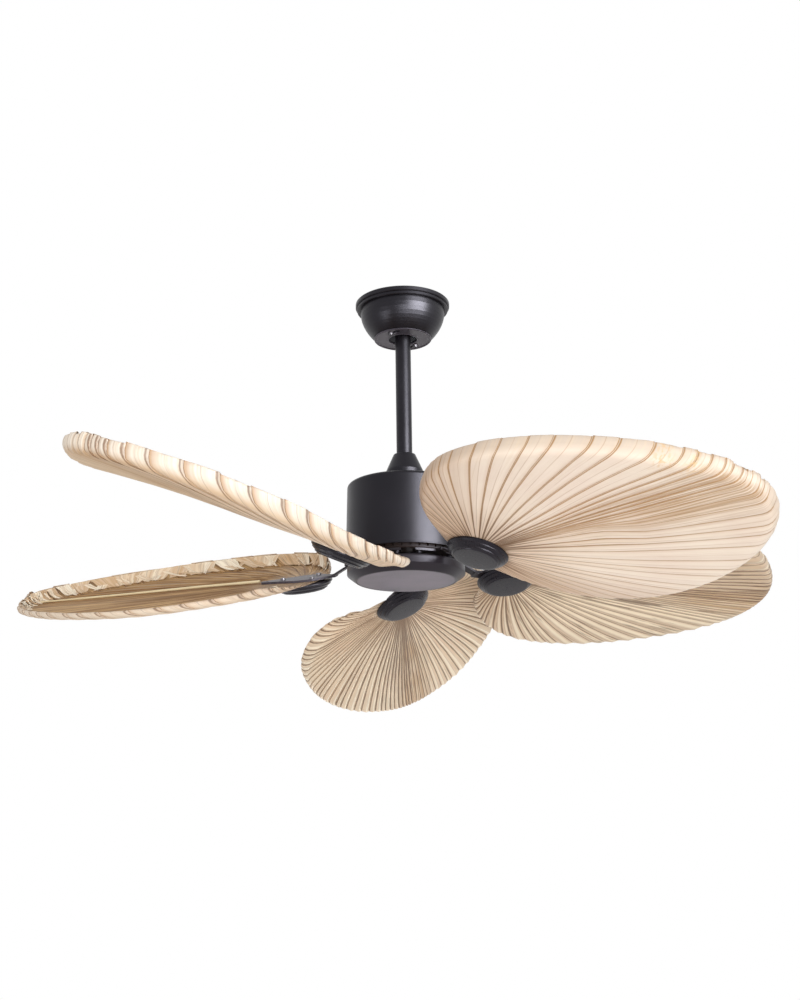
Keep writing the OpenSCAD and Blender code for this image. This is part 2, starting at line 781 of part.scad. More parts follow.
module rotor_upper_bell() {
    ring_top = z_core_mid + core_ring_h / 2;
    color("darkgray") difference() {
        rotate_extrude() polygon([
            [shaft_r + 2, z_rotor_top],
            [rotor_r - 4, z_rotor_top],
            [rotor_r, z_rotor_top - 4],
            [rotor_r, ring_top],
            [rotor_r - 12, ring_top],
            [rotor_r - 12, z_rotor_top - bell_t],
            [boss_r, z_rotor_top - bell_t],
            [boss_r, z_bearing_up],
            [bearing_r + fit, z_bearing_up],
            [bearing_r + fit, z_bearing_up + bearing_w],
            [shaft_r + 2, z_bearing_up + bearing_w]
        ]);
        bolt_places() translate([0, 0, ring_top - 1]) cylinder(r = rotor_bolt_shank_r + hole_gap, h = 60);
    }
}

module rotor_ring() {
    low = z_core_mid - core_ring_h / 2;
    color("dimgray") difference() {
        tube(rotor_r, stator_r + air_gap, low, low + core_ring_h);
        bolt_places() translate([0, 0, low - 1])
            cylinder(r = rotor_bolt_shank_r + hole_gap, h = core_ring_h + 2);
    }
}

module rotor_lower_bell() {
    ring_low = z_core_mid - core_ring_h / 2;
    color("darkgray") difference() {
        rotate_extrude() polygon([
            [shaft_r + 2, z_fly_top],
            [rotor_r - 1, z_fly_top],
            [rotor_r, z_fly_top + 1],
            [rotor_r, ring_low],
            [rotor_r - 12, ring_low],
            [rotor_r - 12, z_fly_top + bell_t + 3],
            [boss_r, z_fly_top + bell_t + 3],
            [boss_r, z_bearing_low + bearing_w],
            [bearing_r + fit, z_bearing_low + bearing_w],
            [bearing_r + fit, z_bearing_low],
            [shaft_r + 2, z_bearing_low]
        ]);
        bolt_places() translate([0, 0, ring_low - 8]) cylinder(r = rotor_bolt_shank_r + hole_gap, h = 60);
        for (k = [0 : blade_count - 1]) rotate([0, 0, z_dir(k)])
            translate([fly_screw_r, 0, z_fly_top - 1]) cylinder(r = screw_shank_r + hole_gap, h = 6);
    }
}

module rotor_bolts() {
    ring_low = z_core_mid - core_ring_h / 2;
    color("silver") bolt_places() translate([0, 0, z_rotor_top])
        screw_down(rotor_bolt_shank_r, z_rotor_top - ring_low + 7, screw_head_r, screw_head_h);
}

module flywheel() {
    color([0.16, 0.14, 0.13]) difference() {
        rotate_extrude() polygon([
            [fly_in, z_arm],
            [fly_r - 1, z_arm],
            [fly_r, z_arm + 1],
            [fly_r, z_fly_top - 1],
            [fly_r - 1, z_fly_top],
            [fly_in, z_fly_top]
        ]);
        for (k = [0 : vent_count - 1]) rotate([0, 0, 360 / vent_count * (k + 0.5)])
            translate([fly_r - 4, -1.2, z_arm + 2.5]) cube([8, 2.4, flywheel_h]);
        for (k = [0 : blade_count - 1]) rotate([0, 0, z_dir(k)]) {
            translate([fly_screw_r, 0, z_arm - 1]) cylinder(r = screw_shank_r + hole_gap, h = flywheel_h + 2);
            for (side = [-1, 1]) arm_screw_place(side)
                translate([0, 0, z_arm - 1]) cylinder(r = arm_shank_r + hole_gap, h = 9);
        }
    }
}

module arm_screw_place(side) {
    rotate([0, 0, side * arm_screw_angle]) translate([arm_screw_r, 0, 0]) children();
}

module flywheel_screws() {
    color("silver") for (k = [0 : blade_count - 1]) rotate([0, 0, z_dir(k)])
        translate([fly_screw_r, 0, z_arm])
            screw_up(screw_shank_r, flywheel_h + 4, screw_head_r, screw_head_h);
}

module arm_screws() {
    color("silver") for (k = [0 : blade_count - 1]) rotate([0, 0, z_dir(k)])
        for (side = [-1, 1]) arm_screw_place(side)
            translate([0, 0, z_arm - arm_t]) screw_up(arm_shank_r, arm_t + 7, arm_head_r, arm_head_h);
}

module blade_screws() {
    seat = leaf_t + seat_gap + arm_t;
    color("silver") for (k = [0 : blade_count - 1]) on_blade(k)
        for (p = blade_screws_at) translate([p[0], p[1], seat])
            screw_down(screw_shank_r, seat + screw_depth - 0.4, screw_head_r, screw_head_h);
}

// Flat root of an arm: a curved foot under the flywheel and a bar outwards
module arm_root() {
    far = 1.4 * root_out;
    difference() {
        union() {
            intersection() {
                tube(root_out, root_in, z_arm - arm_t, z_arm);
                linear_extrude(height = 4 * abs(z_arm), center = true)
                    polygon([[0, 0], [far, -far * tan(root_angle)], [far, far * tan(root_angle)]]);
            }
            translate([root_in + 2, -neck_w / 2 - 1, z_arm - arm_t])
                cube([neck_start - root_in - 2, neck_w + 2, arm_t]);
        }
        for (side = [-1, 1]) arm_screw_place(side)
            translate([0, 0, z_arm - arm_t - 1]) cylinder(r = arm_shank_r + hole_gap, h = arm_t + 2);
    }
}

// Long plate over the leaf, from its neck to its pointed tip
module arm_plate() {
    low = leaf_t + seat_gap;
    half = arm_w / 2;
    side = [
        [-plate_back, neck_w / 2],
        [-plate_back * 0.79, neck_w * 0.57],
        [-plate_back * 0.42, half * 0.92],
        [-plate_back * 0.17, half],
        [plate_tip * 0.1, half * 0.96],
        [plate_tip * 0.47, half * 0.55],
        [plate_tip * 0.87, half * 0.25],
        [plate_tip * 0.97, half * 0.17]
    ];
    last = len(side) - 1;
    difference() {
        translate([0, 0, low]) linear_extrude(height = arm_t) polygon(concat(
            [for (p = side) [p[0], -p[1]]],
            [[plate_tip, 0]],
            [for (k = [last : -1 : 0]) side[k]]
        ));
        for (p = blade_screws_at) translate([p[0], p[1], low - 1])
            cylinder(r = screw_shank_r + hole_gap, h = arm_t + 2);
        translate([plate_tip - 9, 0, low - 1]) cylinder(r = 2, h = arm_t + 2);
    }
}

// Middle of plate i's neck, in the arm's own frame: x outwards, z up
function neck_at(i) =
    let (
        x = link_bite - plate_back,
        z = leaf_t + seat_gap + arm_t / 2,
        b = blade_pitch[i],
        g = blade_droop[i]
    )
    [arm_r + x * cos(g) + z * cos(b) * sin(g), z * sin(b),
     z_leaf - arm_drop[i] - x * sin(g) + z * cos(b) * cos(g)];

// The bent link: a strap from the root's bar to the plate's neck, twisted half way to the blade's pitch
module arm_link(i) {
    from = [neck_start - link_bite, 0, z_arm - arm_t / 2];
    run = neck_at(i) - from;
    reach = norm(run);
    slope = atan2(-run[2], norm([run[0], run[1]]));
    turn = atan2(run[1], run[0]);
    translate(from) rotate([0, slope, turn]) rotate([-blade_pitch[i] / 2, 0, 0])
        translate([-link_bite / 2, -neck_w / 2 + 0.5, 0.2 - arm_t / 2])
            cube([reach + link_bite, neck_w - 1, arm_t - 0.4]);
}

module blade_arm(i) {
    color([0.20, 0.20, 0.22]) {
        rotate([0, 0, z_dir(i)]) {
            arm_root();
            arm_link(i);
        }
        on_blade(i) arm_plate();
    }
}

module medallion(i) {
    disc_r = med_r - 11.4;
    foot = seat_gap + 0.6;
    // each step as its distance from the edge and its share of the height
    steps = [[0, 0.18], [2.6, 0.38], [2.8, 0.47], [3.8, 0.52], [7.4, 0.68], [7.6, 0.77],
        [8.4, 0.82], [10.8, 0.89], [11.2, 0.93]];
    color([0.16, 0.16, 0.17]) on_blade(i) difference() {
        rotate_extrude() polygon(concat(
            [
                [0, -seat_gap],
                [med_r - 0.6, -seat_gap],
                [med_r, -foot]
            ],
            [for (q = steps) [med_r - q[0], -medallion_h * q[1]]],
            [for (a = [0 : 18 : 90]) [disc_r * cos(a), -medallion_h * (0.945 + 0.055 * sin(a))]]
        ));
        for (p = blade_screws_at) translate([p[0], p[1], -screw_depth])
            cylinder(r = screw_shank_r + hole_gap, h = screw_depth + 1);
    }
}

// ---------------------------------------------------------------- leaves

// Outline of leaf i at column j, as [x, y] from the medallion's centre
function leaf_edge(i, j) =
    let (phi = 360 * j / cols, length = leaf_len * leaf_len_share[i], width = leaf_w * leaf_w_share[i])
    [length / 2 - leaf_back + length / 2 * cos(phi),
     width / 2 * 0.983 * sin(phi) * (1 - leaf_egg * cos(phi))];

// Share of leaf i's rim height at column j: none where the arm passes
function rim_share(i, j) =
    let (phi = 360 * j / cols, off = abs(phi - 180), low = min(1, 2 * max(0, sin(phi))))
    min(1, max(0, (off - rim_free) / (rim_full - rim_free))) * (1 - (1 - low_rim_share[i]) * low);

// Height of the pleats at distance r from the medallion's centre
function pleat_at(j, r) =
    (j % 2 == 0 ? 1 : -1) * pleat_h / 2 * min(1, max(0, (r - leaf_flat) / plate_tip));

// One column of the leaf's skin, from the middle of its underside round to its top
function leaf_column(i, j) =
    let (
        p = leaf_edge(i, j),
        r = norm(p),
        k = rim_share(i, j),
        e = min(1, r / plate_tip),
        o = k * fold_step * (j % 3) / 2,
        flat = min(leaf_flat, 0.4 * r),
        mid = 0.55 * r,
        low_turn = r - 0.5 * rim_h * e,
        top_turn = low_turn - rim_t * e,
        rings = [
            [flat, 0],
            [mid, pleat_at(j, mid)],
            [low_turn, pleat_at(j, low_turn) + 0.03 * rim_h * k],
            [r - 0.15 * rim_h * e, 0.225 * rim_h * k],
            [r + 0.5 * o, 0.55 * rim_h * k + leaf_t / 3 * (1 - k)],
            [r - 0.05 * rim_h * e + o, rim_h * k + leaf_t * 2 / 3 * (1 - k)],
            [r - (0.05 * rim_h + rim_t) * e + o, rim_h * k + leaf_t * (1 - k)],
            [r - (0.125 * rim_h + rim_t) * e, 0.57 * rim_h * k + leaf_t * (1 - k)],
            [r - (0.275 * rim_h + rim_t) * e, 0.3 * rim_h * k + leaf_t * (1 - k)],
            [top_turn, pleat_at(j, low_turn) + leaf_t],
            [mid - rim_t * e, pleat_at(j, mid) + leaf_t],
            [flat - 0.2 * leaf_t, leaf_t]
        ]
    )
    [for (q = rings) [p[0] / r * q[0], p[1] / r * q[0], q[1]]];

ring_count = 12;

module leaf_skin(i) {
    skin = [for (j = [0 : cols - 1]) each leaf_column(i, j)];
    points = concat(skin, [[0, 0, 0], [0, 0, leaf_t]]);
    under = len(skin);
    over = under + 1;
    faces = [for (j = [0 : cols - 1]) let (n = (j + 1) % cols) each concat(
        [for (q = [0 : ring_count - 2]) each [
            [j * ring_count + q, n * ring_count + q + 1, n * ring_count + q],
            [j * ring_count + q, j * ring_count + q + 1, n * ring_count + q + 1]
        ]],
        [
            [under, j * ring_count, n * ring_count],
            [over, n * ring_count + ring_count - 1, j * ring_count + ring_count - 1]
        ]
    )];
    polyhedron(points = points, faces = faces, convexity = 8);
}

module leaf(i) {
    color([0.90, 0.79, 0.64]) on_blade(i) rotate([0, 0, leaf_skew[i]]) difference() {
        leaf_skin(i);
        rotate([0, 0, -leaf_skew[i]]) for (p = blade_screws_at) translate([p[0], p[1], -1])
            cylinder(r = screw_shank_r + hole_gap, h = leaf_t + 2);
    }
}

module leaf_stick(i) {
    start = plate_tip + 3;
    end = leaf_len * leaf_len_share[i] - leaf_back - 0.75 * rim_h;
    lift = leaf_t + pleat_h / 2 + seat_gap + stick_d / 2;
    color([0.88, 0.78, 0.58]) on_blade(i) rotate([0, 0, leaf_skew[i]])
        translate([start, 0, lift]) rotate([0, 90, 0]) cylinder(r = stick_d / 2, h = end - start, $fn = 24);
}

// ---------------------------------------------------------------- assembly

hanger_bracket();
canopy();
canopy_cover();
canopy_screws();
terminal_block();
ground_screw();
ball_liner();
hanger_ball();
ball_pin();
ball_set_screw();
downrod();
motor_coupler();
coupler_pin();
coupler_clip();
coupler_set_screws();
motor_housing();
housing_screws();
stator_shaft();
stator_core();
stator_windings();
switch_housing();
shaft_nut();
capacitor();
control_board();
bottom_cover();
coupling_cover();
upper_bearing();
lower_bearing();
rotor_upper_bell();
rotor_ring();
rotor_lower_bell();
rotor_bolts();
flywheel();
flywheel_screws();
arm_screws();
blade_screws();
blade_arm(0);  // blade_arm_1
blade_arm(1);  // blade_arm_2
blade_arm(2);  // blade_arm_3
blade_arm(3);  // blade_arm_4
blade_arm(4);  // blade_arm_5
medallion(0);  // medallion_1
medallion(1);  // medallion_2
medallion(2);  // medallion_3
medallion(3);  // medallion_4
medallion(4);  // medallion_5
leaf(0);  // leaf_1
leaf(1);  // leaf_2
leaf(2);  // leaf_3
leaf(3);  // leaf_4
leaf(4);  // leaf_5
leaf_stick(0);  // leaf_stick_1
leaf_stick(1);  // leaf_stick_2
leaf_stick(2);  // leaf_stick_3
leaf_stick(3);  // leaf_stick_4
leaf_stick(4);  // leaf_stick_5
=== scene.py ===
"""Looks of the palm-leaf ceiling fan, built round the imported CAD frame."""
import json
import math
import random
from itertools import groupby

import bpy
import numpy as np
from mathutils import Matrix, Vector


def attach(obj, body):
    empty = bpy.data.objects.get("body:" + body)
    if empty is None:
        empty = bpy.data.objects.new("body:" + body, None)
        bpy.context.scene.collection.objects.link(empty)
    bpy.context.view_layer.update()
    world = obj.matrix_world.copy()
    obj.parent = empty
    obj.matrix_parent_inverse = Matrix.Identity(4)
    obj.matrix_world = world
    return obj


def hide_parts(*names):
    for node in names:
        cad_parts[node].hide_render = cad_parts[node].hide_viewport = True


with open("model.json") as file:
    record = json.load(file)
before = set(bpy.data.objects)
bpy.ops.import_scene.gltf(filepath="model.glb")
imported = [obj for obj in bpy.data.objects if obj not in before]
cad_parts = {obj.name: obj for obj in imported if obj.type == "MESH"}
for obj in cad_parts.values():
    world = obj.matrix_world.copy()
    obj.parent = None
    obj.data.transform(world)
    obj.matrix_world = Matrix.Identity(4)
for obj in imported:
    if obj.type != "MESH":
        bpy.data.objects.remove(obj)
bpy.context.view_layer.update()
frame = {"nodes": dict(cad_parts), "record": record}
scene = bpy.context.scene


# ---------------------------------------------------------------- colours and node helpers

def rgb(red, green, blue):
    """Linear RGBA of a colour that is written as a picture shows it, 0 to 255."""
    def linear(c):
        c /= 255
        return c / 12.92 if c <= 0.04045 else ((c + 0.055) / 1.055) ** 2.4
    return (linear(red), linear(green), linear(blue), 1.0)


def scaled(colour, share, more=0.0):
    """The colour times share, plus more."""
    return tuple(min(1, share * c + more) for c in colour[:3]) + (1.0,)


# The Mix node's sockets for colours
MIX_A, MIX_B, MIX_RESULT = 6, 7, 2


class Nodes:
    """The node tree of a material or of the world, written in short calls."""

    def __init__(self, owner):
        self.owner = owner
        owner.use_nodes = True
        self.tree = owner.node_tree
        self.tree.nodes.clear()

    def feed(self, socket, value):
        if isinstance(value, bpy.types.Node):
            value = value.outputs[0]
        if isinstance(value, bpy.types.NodeSocket):
            self.tree.links.new(value, socket)
        else:
            socket.default_value = value

    def add(self, kind, sockets=None, **settings):
        node = self.tree.nodes.new("ShaderNode" + kind)
        for key, value in settings.items():
            setattr(node, key, value)
        for key, value in (sockets or {}).items():
            self.feed(node.inputs[key], value)
        return node

    def math(self, operation, a, b=0.0):
        return self.add("Math", {0: a, 1: b}, operation=operation).outputs[0]

    def times(self, a, b):
        return self.math("MULTIPLY", a, b)

    def invert(self, value):
        return self.math("SUBTRACT", 1.0, value)

    def either(self, a, b):
        return self.add("Math", {0: a, 1: b}, operation="ADD", use_clamp=True).outputs[0]

    def mix(self, factor, a, b):
        node = self.add("Mix", {"Factor": factor, MIX_A: a, MIX_B: b},
                        data_type="RGBA", clamp_factor=True)
        return node.outputs[MIX_RESULT]

    def tint(self, base, mask, strength, colour):
        """base with colour laid over it by mask times strength."""
        return self.mix(self.times(mask, strength), base, colour)

    def span(self, value, low, high, to_low=0.0, to_high=1.0):
        """value mapped smoothly from low..high to to_low..to_high."""
        return self.add("MapRange", {
            "Value": value, "From Min": low, "From Max": high, "To Min": to_low, "To Max": to_high,
        }, interpolation_type="SMOOTHSTEP").outputs[0]

    def place(self):
        return self.add("TexCoord").outputs["Object"]

    def vector(self, x, y, z=0.0):
        return self.add("CombineXYZ", {0: x, 1: y, 2: z}).outputs[0]

    def from_axis(self, place):
        """Distance from the z axis."""
        at = self.add("SeparateXYZ", {0: place})
        flat = self.vector(at.outputs[0], at.outputs[1])
        return self.add("VectorMath", {0: flat}, operation="LENGTH").outputs["Value"]

    def noise(self, place, scale, detail=3.0, rough=0.5):
        return self.add("TexNoise", {
            "Vector": place, "Scale": scale, "Detail": detail, "Roughness": rough,
        }).outputs[0]

    def attribute(self, name):
        return self.add("Attribute", attribute_name=name).outputs["Fac"]

    def bump(self, height, distance, strength=1.0):
        return self.add("Bump", {
            "Height": height, "Distance": distance, "Strength": strength,
        }).outputs[0]

    def surface(self, **sockets):
        """The finished material; a socket's name is written with _ for each space."""
        named = {key.replace("_", " "): value for key, value in sockets.items()}
        self.add("OutputMaterial", {"Surface": self.add("BsdfPrincipled", named)})
        return self.owner


def shader(name):
    return Nodes(bpy.data.materials.new(name))


# ---------------------------------------------------------------- metal, plastic and board

# A paint's painted shade near the fan's axis, for parts in the shaded gap under the housing, ends
# between these distances
AXIS_SHADE_ENDS = (0.100, 0.122)
# Half the pitch of the lines between a core's steel sheets
SHEET_T = 0.00025


def paint(name, colour, rough, level, grain=0.00003, grain_size=900, axis_shade=None):
    """Baked satin paint: fine orange-peel grain, faint clouds, paler rubbed edges that are partly
    edge wear and partly a painted highlight, and, where asked, painted shade near the fan's axis.
    """
    s = shader(name)
    place = s.place()
    grain_map = s.noise(place, grain_size, 2.0)
    cloud = s.noise(place, 14, 3.0, 0.6)
    base = s.mix(s.span(cloud, 0.3, 0.7), scaled(colour, 0.82), scaled(colour, 1.25))
    # paler convex edges: edge wear, and also a painted highlight on edges such as the medallions'
    # beads
    edge = s.span(s.add("NewGeometry").outputs["Pointiness"], 0.53, 0.60)
    edge = s.times(edge, s.span(s.noise(place, 160, 3.0), 0.45, 0.7))
    base = s.tint(base, edge, 0.5, scaled(colour, 1.9, 0.004))
    # painted shade: the colour darkens towards the fan's axis, where the gap under the housing is
    # in shade
    if axis_shade:
        base = s.mix(s.span(s.from_axis(place), *AXIS_SHADE_ENDS), axis_shade, base)
    roughness = s.math("ADD", s.span(grain_map, 0.3, 0.7, rough - 0.03, rough + 0.04),
                       s.span(cloud, 0.3, 0.7, -0.03, 0.03))
    return s.surface(Base_Color=base, Roughness=roughness, Specular_IOR_Level=level,
                     Specular_Tint=(0.88, 0.87, 1.0, 1), Normal=s.bump(grain_map, grain))


def bare_metal(name, colour, rough, streak=(1, 1, 12), stain=0.25):
    """Bare or plated metal with drawn streaks and dull patches."""
    s = shader(name)
    place = s.place()
    drawn = s.add("Mapping", {"Vector": place, "Scale": streak}).outputs[0]
    lines = s.noise(drawn, 220, 4.0, 0.65)
    patch = s.noise(place, 40, 4.0, 0.6)
    base = s.mix(s.span(patch, 0.35, 0.7), colour, scaled(colour, 1 - stain))
    roughness = s.math("ADD", s.span(lines, 0.3, 0.7, rough - 0.06, rough + 0.08),
                       s.span(patch, 0.3, 0.7, -0.03, 0.08))
    return s.surface(Base_Color=base, Metallic=1.0, Roughness=roughness,
                     Normal=s.bump(lines, 0.00005))


def plastic(name, colour, rough):
    """Moulded plastic with a fine spark-eroded grain."""
    s = shader(name)
    place = s.place()
    grain = s.noise(place, 1200, 2.0)
    flow = s.noise(place, 25, 3.0)
    return s.surface(Base_Color=s.mix(s.span(flow, 0.35, 0.65), colour, scaled(colour, 0.88)),
                     Roughness=s.span(grain, 0.3, 0.7, rough - 0.05, rough + 0.05),
                     Normal=s.bump(grain, 0.00006))


def windings(name):
    """Enamelled copper wire laid in turns."""
    s = shader(name)
    wave = s.add("TexWave", {"Vector": s.place(), "Scale": 260, "Distortion": 1.2, "Detail": 2.0},
                 wave_type="RINGS", rings_direction="Z")
    turns = wave.outputs["Fac"]
    return s.surface(Base_Color=s.mix(turns, rgb(96, 42, 18), rgb(214, 120, 62)),
                     Metallic=0.7, Roughness=0.32, Normal=s.bump(turns, 0.0003))


def laminations(name):
    """Stacked steel sheets, seen as fine level lines."""
    s = shader(name)
    height = s.add("SeparateXYZ", {0: s.place()}).outputs[2]
    sheet = s.span(s.math("PINGPONG", height, SHEET_T), 0.0, SHEET_T)
    return s.surface(Base_Color=s.mix(sheet, rgb(70, 72, 78), rgb(150, 152, 158)),
                     Metallic=0.9, Roughness=0.45, Normal=s.bump(sheet, 0.0001))


def circuit_board(name):
    """Green solder mask with pale tracks."""
    s = shader(name)
    place = s.place()
    brick = s.add("TexBrick", {
        "Vector": place, "Scale": 60, "Color1": rgb(20, 86, 48), "Color2": rgb(16, 70, 40),
        "Mortar": rgb(70, 140, 90), "Mortar Size": 0.03,
    })
    grain = s.noise(place, 400, 2.0)
    return s.surface(Base_Color=brick.outputs[0], Roughness=s.span(grain, 0.3, 0.7, 0.3, 0.45))


# Streaks drawn round a turned piece, instead of along it
ROUND = (6, 6, 1)

# One material for each material slot of the record, apart from the leaves' and the sticks'
finish = {
    "black_metal": paint("black_metal", rgb(12, 9, 14), 0.36, 0.28),
    "grey_cover": paint("grey_cover", rgb(104, 97, 106), 0.40, 0.16),
    "brown_metal": paint("brown_metal", rgb(40, 31, 27), 0.45, 0.12, 0.0003, 500),
    # the arms' roots get painted shade, rgb(30, 24, 25), near the fan's axis
    "arm_metal": paint("arm_metal", rgb(70, 65, 72), 0.38, 0.30, axis_shade=rgb(30, 24, 25)),
    "medallion_metal": paint("medallion_metal", rgb(24, 21, 26), 0.27, 0.30, 0.00001),
    "zinc_steel": bare_metal("zinc_steel", rgb(176, 180, 184), 0.36),
    "steel": bare_metal("steel", rgb(205, 206, 210), 0.22, ROUND, 0.15),
    "dark_steel": bare_metal("dark_steel", rgb(120, 118, 122), 0.30, ROUND, 0.3),
    "green_steel": paint("green_steel", rgb(42, 110, 62), 0.35, 0.5),
    "core_steel": laminations("core_steel"),
    "cast_aluminium": bare_metal("cast_aluminium", rgb(112, 108, 108), 0.55, (1, 1, 1), 0.3),
    "copper": windings("copper"),
    "white_plastic": plastic("white_plastic", rgb(226, 224, 216), 0.45),
    "black_plastic": plastic("black_plastic", rgb(34, 34, 38), 0.40),
    "board": circuit_board("board"),
}


# ---------------------------------------------------------------- palm leaf material

TOP_PALE, TOP_DARK, RIM_PALE = rgb(214, 182, 136), rgb(168, 128, 84), rgb(233, 222, 208)
# Where in a fold, from 0 at its crease to 1 at the next, the sheet drops back to the next crease
LIP = 0.965


def palm(name, cream, blush, line, facet, hub_share, top_pale=TOP_PALE, top_dark=TOP_DARK,
         line_share=0.85, line_width=1.0, streaks=0.2, back_share=0.0,
         rim_share=0.1, rim_pale=RIM_PALE, rim_foot=0.30):
    """Dried palm: brown creases along the folds, fine fibres, painted tan shade in each fold.

    The underside is cream with clouds of blush, the top goes from top_pale to top_dark. line,
    line_share and line_width are the creases' colour, strength and width. facet is the strength of
    the painted light and painted shade on each fold's two sides, streaks that of the brown streaks,
    hub_share that of the tan near the hub, and back_share that of the tan at the leaf's hub end.
    rim_share is the share of the rim's own colour rim_pale, and rim_foot the strength of the
    painted shade at the foot of the rim's folds.
    """
    s = shader(name)
    uv = s.add("SeparateXYZ", {0: s.add("UVMap", uv_map="leaf").outputs[0]})
    across = s.math("ABSOLUTE", uv.outputs[0])
    along = uv.outputs[1]
    width = s.attribute("pleat_width")
    rim = s.attribute("rim")
    top = s.attribute("top")
    not_top = s.invert(top)
    pleat = s.math("FLOOR", across)
    t = s.math("FRACT", across)
    side = s.times(t, width)
    sway = s.noise(s.vector(s.times(pleat, 3.7), s.times(along, 14)), 1.0, 2.0)

    # strength of the sharp crease and of the thin middle line, from the distance to each in metres
    lip = s.times(s.math("ABSOLUTE", s.math("SUBTRACT", LIP, t)), width)
    low_side = s.math("GREATER_THAN", uv.outputs[0], 0.0)
    lip = s.times(lip, s.math("SUBTRACT", 0.8, s.times(low_side, 0.3)))
    thick = s.span(sway, 0.25, 0.75, 0.0005 * line_width, 0.0011 * line_width)
    crease = s.math("DIVIDE", s.math("MINIMUM", side, lip), thick)
    crease = s.invert(s.span(crease, 0.45, 1.45))
    crease = s.times(crease, s.invert(s.times(s.span(t, LIP + 0.003, LIP + 0.019), 0.75)))
    middle = s.noise(s.vector(pleat, s.times(along, 2.5), 3.0), 1.0, 1.0)
    middle = s.math("ADD", 0.44, s.times(middle, 0.12))
    to_middle = s.times(s.math("ABSOLUTE", s.math("SUBTRACT", t, middle)), width)
    thin = s.invert(s.span(to_middle, 0.0002, 0.0008))
    thin = s.times(thin, s.span(sway, 0.3, 0.6, 0.2, 1.0))

    # fibres, wider streaks, brown patches, clouds, and a random value for each fold
    fibre = s.noise(s.vector(s.times(side, 1500), s.times(along, 22), pleat), 1.0, 4.0, 0.6)
    streak = s.vector(s.times(side, 420), s.times(along, 7), s.times(pleat, 1.7))
    streak = s.noise(streak, 1.0, 3.0, 0.6)
    patch = s.vector(s.times(pleat, 5.1), s.times(along, 8), s.times(side, 160))
    patch = s.noise(patch, 1.0, 3.0, 0.6)
    cloud = s.noise(s.place(), 9, 3.0, 0.55)
    odd = s.add("TexWhiteNoise", {"W": pleat}, noise_dimensions="1D").outputs[0]

    # the underside, with the fine folds bunched at the tip
    hub = s.invert(s.span(along, 0.040, 0.170))
    # painted shade: tan within 6 mm after each crease, where the sheet dives under the fold before
    # it
    painted_fold_shade = s.invert(s.span(side, 0.0, 0.006))
    painted_lit_side = s.times(s.span(t, 0.08, 0.22), s.invert(s.span(t, 0.30, 0.46)))
    bunch = s.times(s.invert(s.span(across, 2.0, 7.0)), s.span(along, 0.09, 0.20))
    under = s.mix(s.span(cloud, 0.35, 0.65), cream, blush)
    under = s.tint(under, s.span(streak, 0.45, 0.75), 0.26, rgb(220, 194, 164))
    under = s.tint(under, s.span(fibre, 0.5, 0.8), 0.16, rgb(196, 164, 130))
    under = s.tint(under, odd, 0.12, rgb(210, 180, 148))
    under = s.tint(under, hub, hub_share, rgb(190, 154, 120))
    under = s.tint(under, painted_fold_shade, 0.30, rgb(196, 156, 114))
    # painted shade on the far half of each fold and a painted highlight on its near half, as strong
    # as facet
    under = s.tint(under, s.span(t, 0.42, 0.60), 0.7 * facet, rgb(186, 148, 110))
    under = s.tint(under, painted_lit_side, facet, rgb(252, 240, 214))
    under = s.tint(under, s.span(patch, 0.56, 0.68), streaks, rgb(98, 70, 44))
    under = s.tint(under, bunch, s.span(streak, 0.35, 0.60, 0.15, 0.75), rgb(176, 138, 96))

    over = s.mix(s.span(streak, 0.3, 0.7), top_pale, top_dark)
    over = s.tint(over, s.span(fibre, 0.42, 0.7), 0.5, rgb(122, 86, 52))
    over = s.tint(over, odd, 0.30, rgb(206, 170, 120))
    over = s.tint(over, s.span(patch, 0.50, 0.66), 0.45, rgb(92, 62, 36))
    base = s.mix(top, under, over)

    # the rim, pale outside and with painted shade inside, the hub end and the torn ends
    pale = s.mix(s.span(streak, 0.35, 0.75), rim_pale, rgb(218, 199, 176))
    # painted shade: tan at the foot of each of the rim's folds, just after its crease
    pale = s.tint(pale, s.invert(s.span(t, 0.0, 0.36)), rim_foot, rgb(186, 146, 106))
    base = s.tint(base, s.times(rim, not_top), rim_share, pale)
    # painted shade: the rim's inside is darkened to dark brown, which shows in the gaps between the
    # torn ends
    base = s.tint(base, s.times(rim, top), 0.60, rgb(96, 68, 44))
    base = s.tint(base, s.times(s.attribute("hubward"), not_top), back_share, rgb(170, 134, 102))
    torn = s.span(s.math("ADD", s.times(odd, 0.35), s.times(streak, 0.8)), 0.30, 0.80)
    torn = s.mix(torn, rgb(252, 242, 222), rgb(208, 174, 134))
    torn = s.tint(torn, s.span(fibre, 0.54, 0.72), 0.8, rgb(104, 72, 44))
    base = s.mix(s.attribute("frill"), base, torn)

    line = s.mix(hub, line, rgb(110, 78, 48))
    base = s.tint(base, crease, line_share, line)
    base = s.tint(base, thin, 0.42 * line_share, line)
    blot = s.noise(s.vector(s.times(side, 260), s.times(along, 190), 1.0), 1.0, 4.0)
    blot = s.times(s.attribute("stain"), s.span(blot, 0.46, 0.6))
    base = s.tint(base, blot, 0.6, rgb(222, 182, 124))

    height = s.math("ADD", s.times(fibre, 0.5), s.times(streak, 0.8))
    return s.surface(
        Base_Color=base, Roughness=s.span(fibre, 0.2, 0.8, 0.50, 0.68), Specular_IOR_Level=0.30,
        Sheen_Weight=0.08, Sheen_Roughness=0.6, Normal=s.bump(height, 0.00035, 0.8))


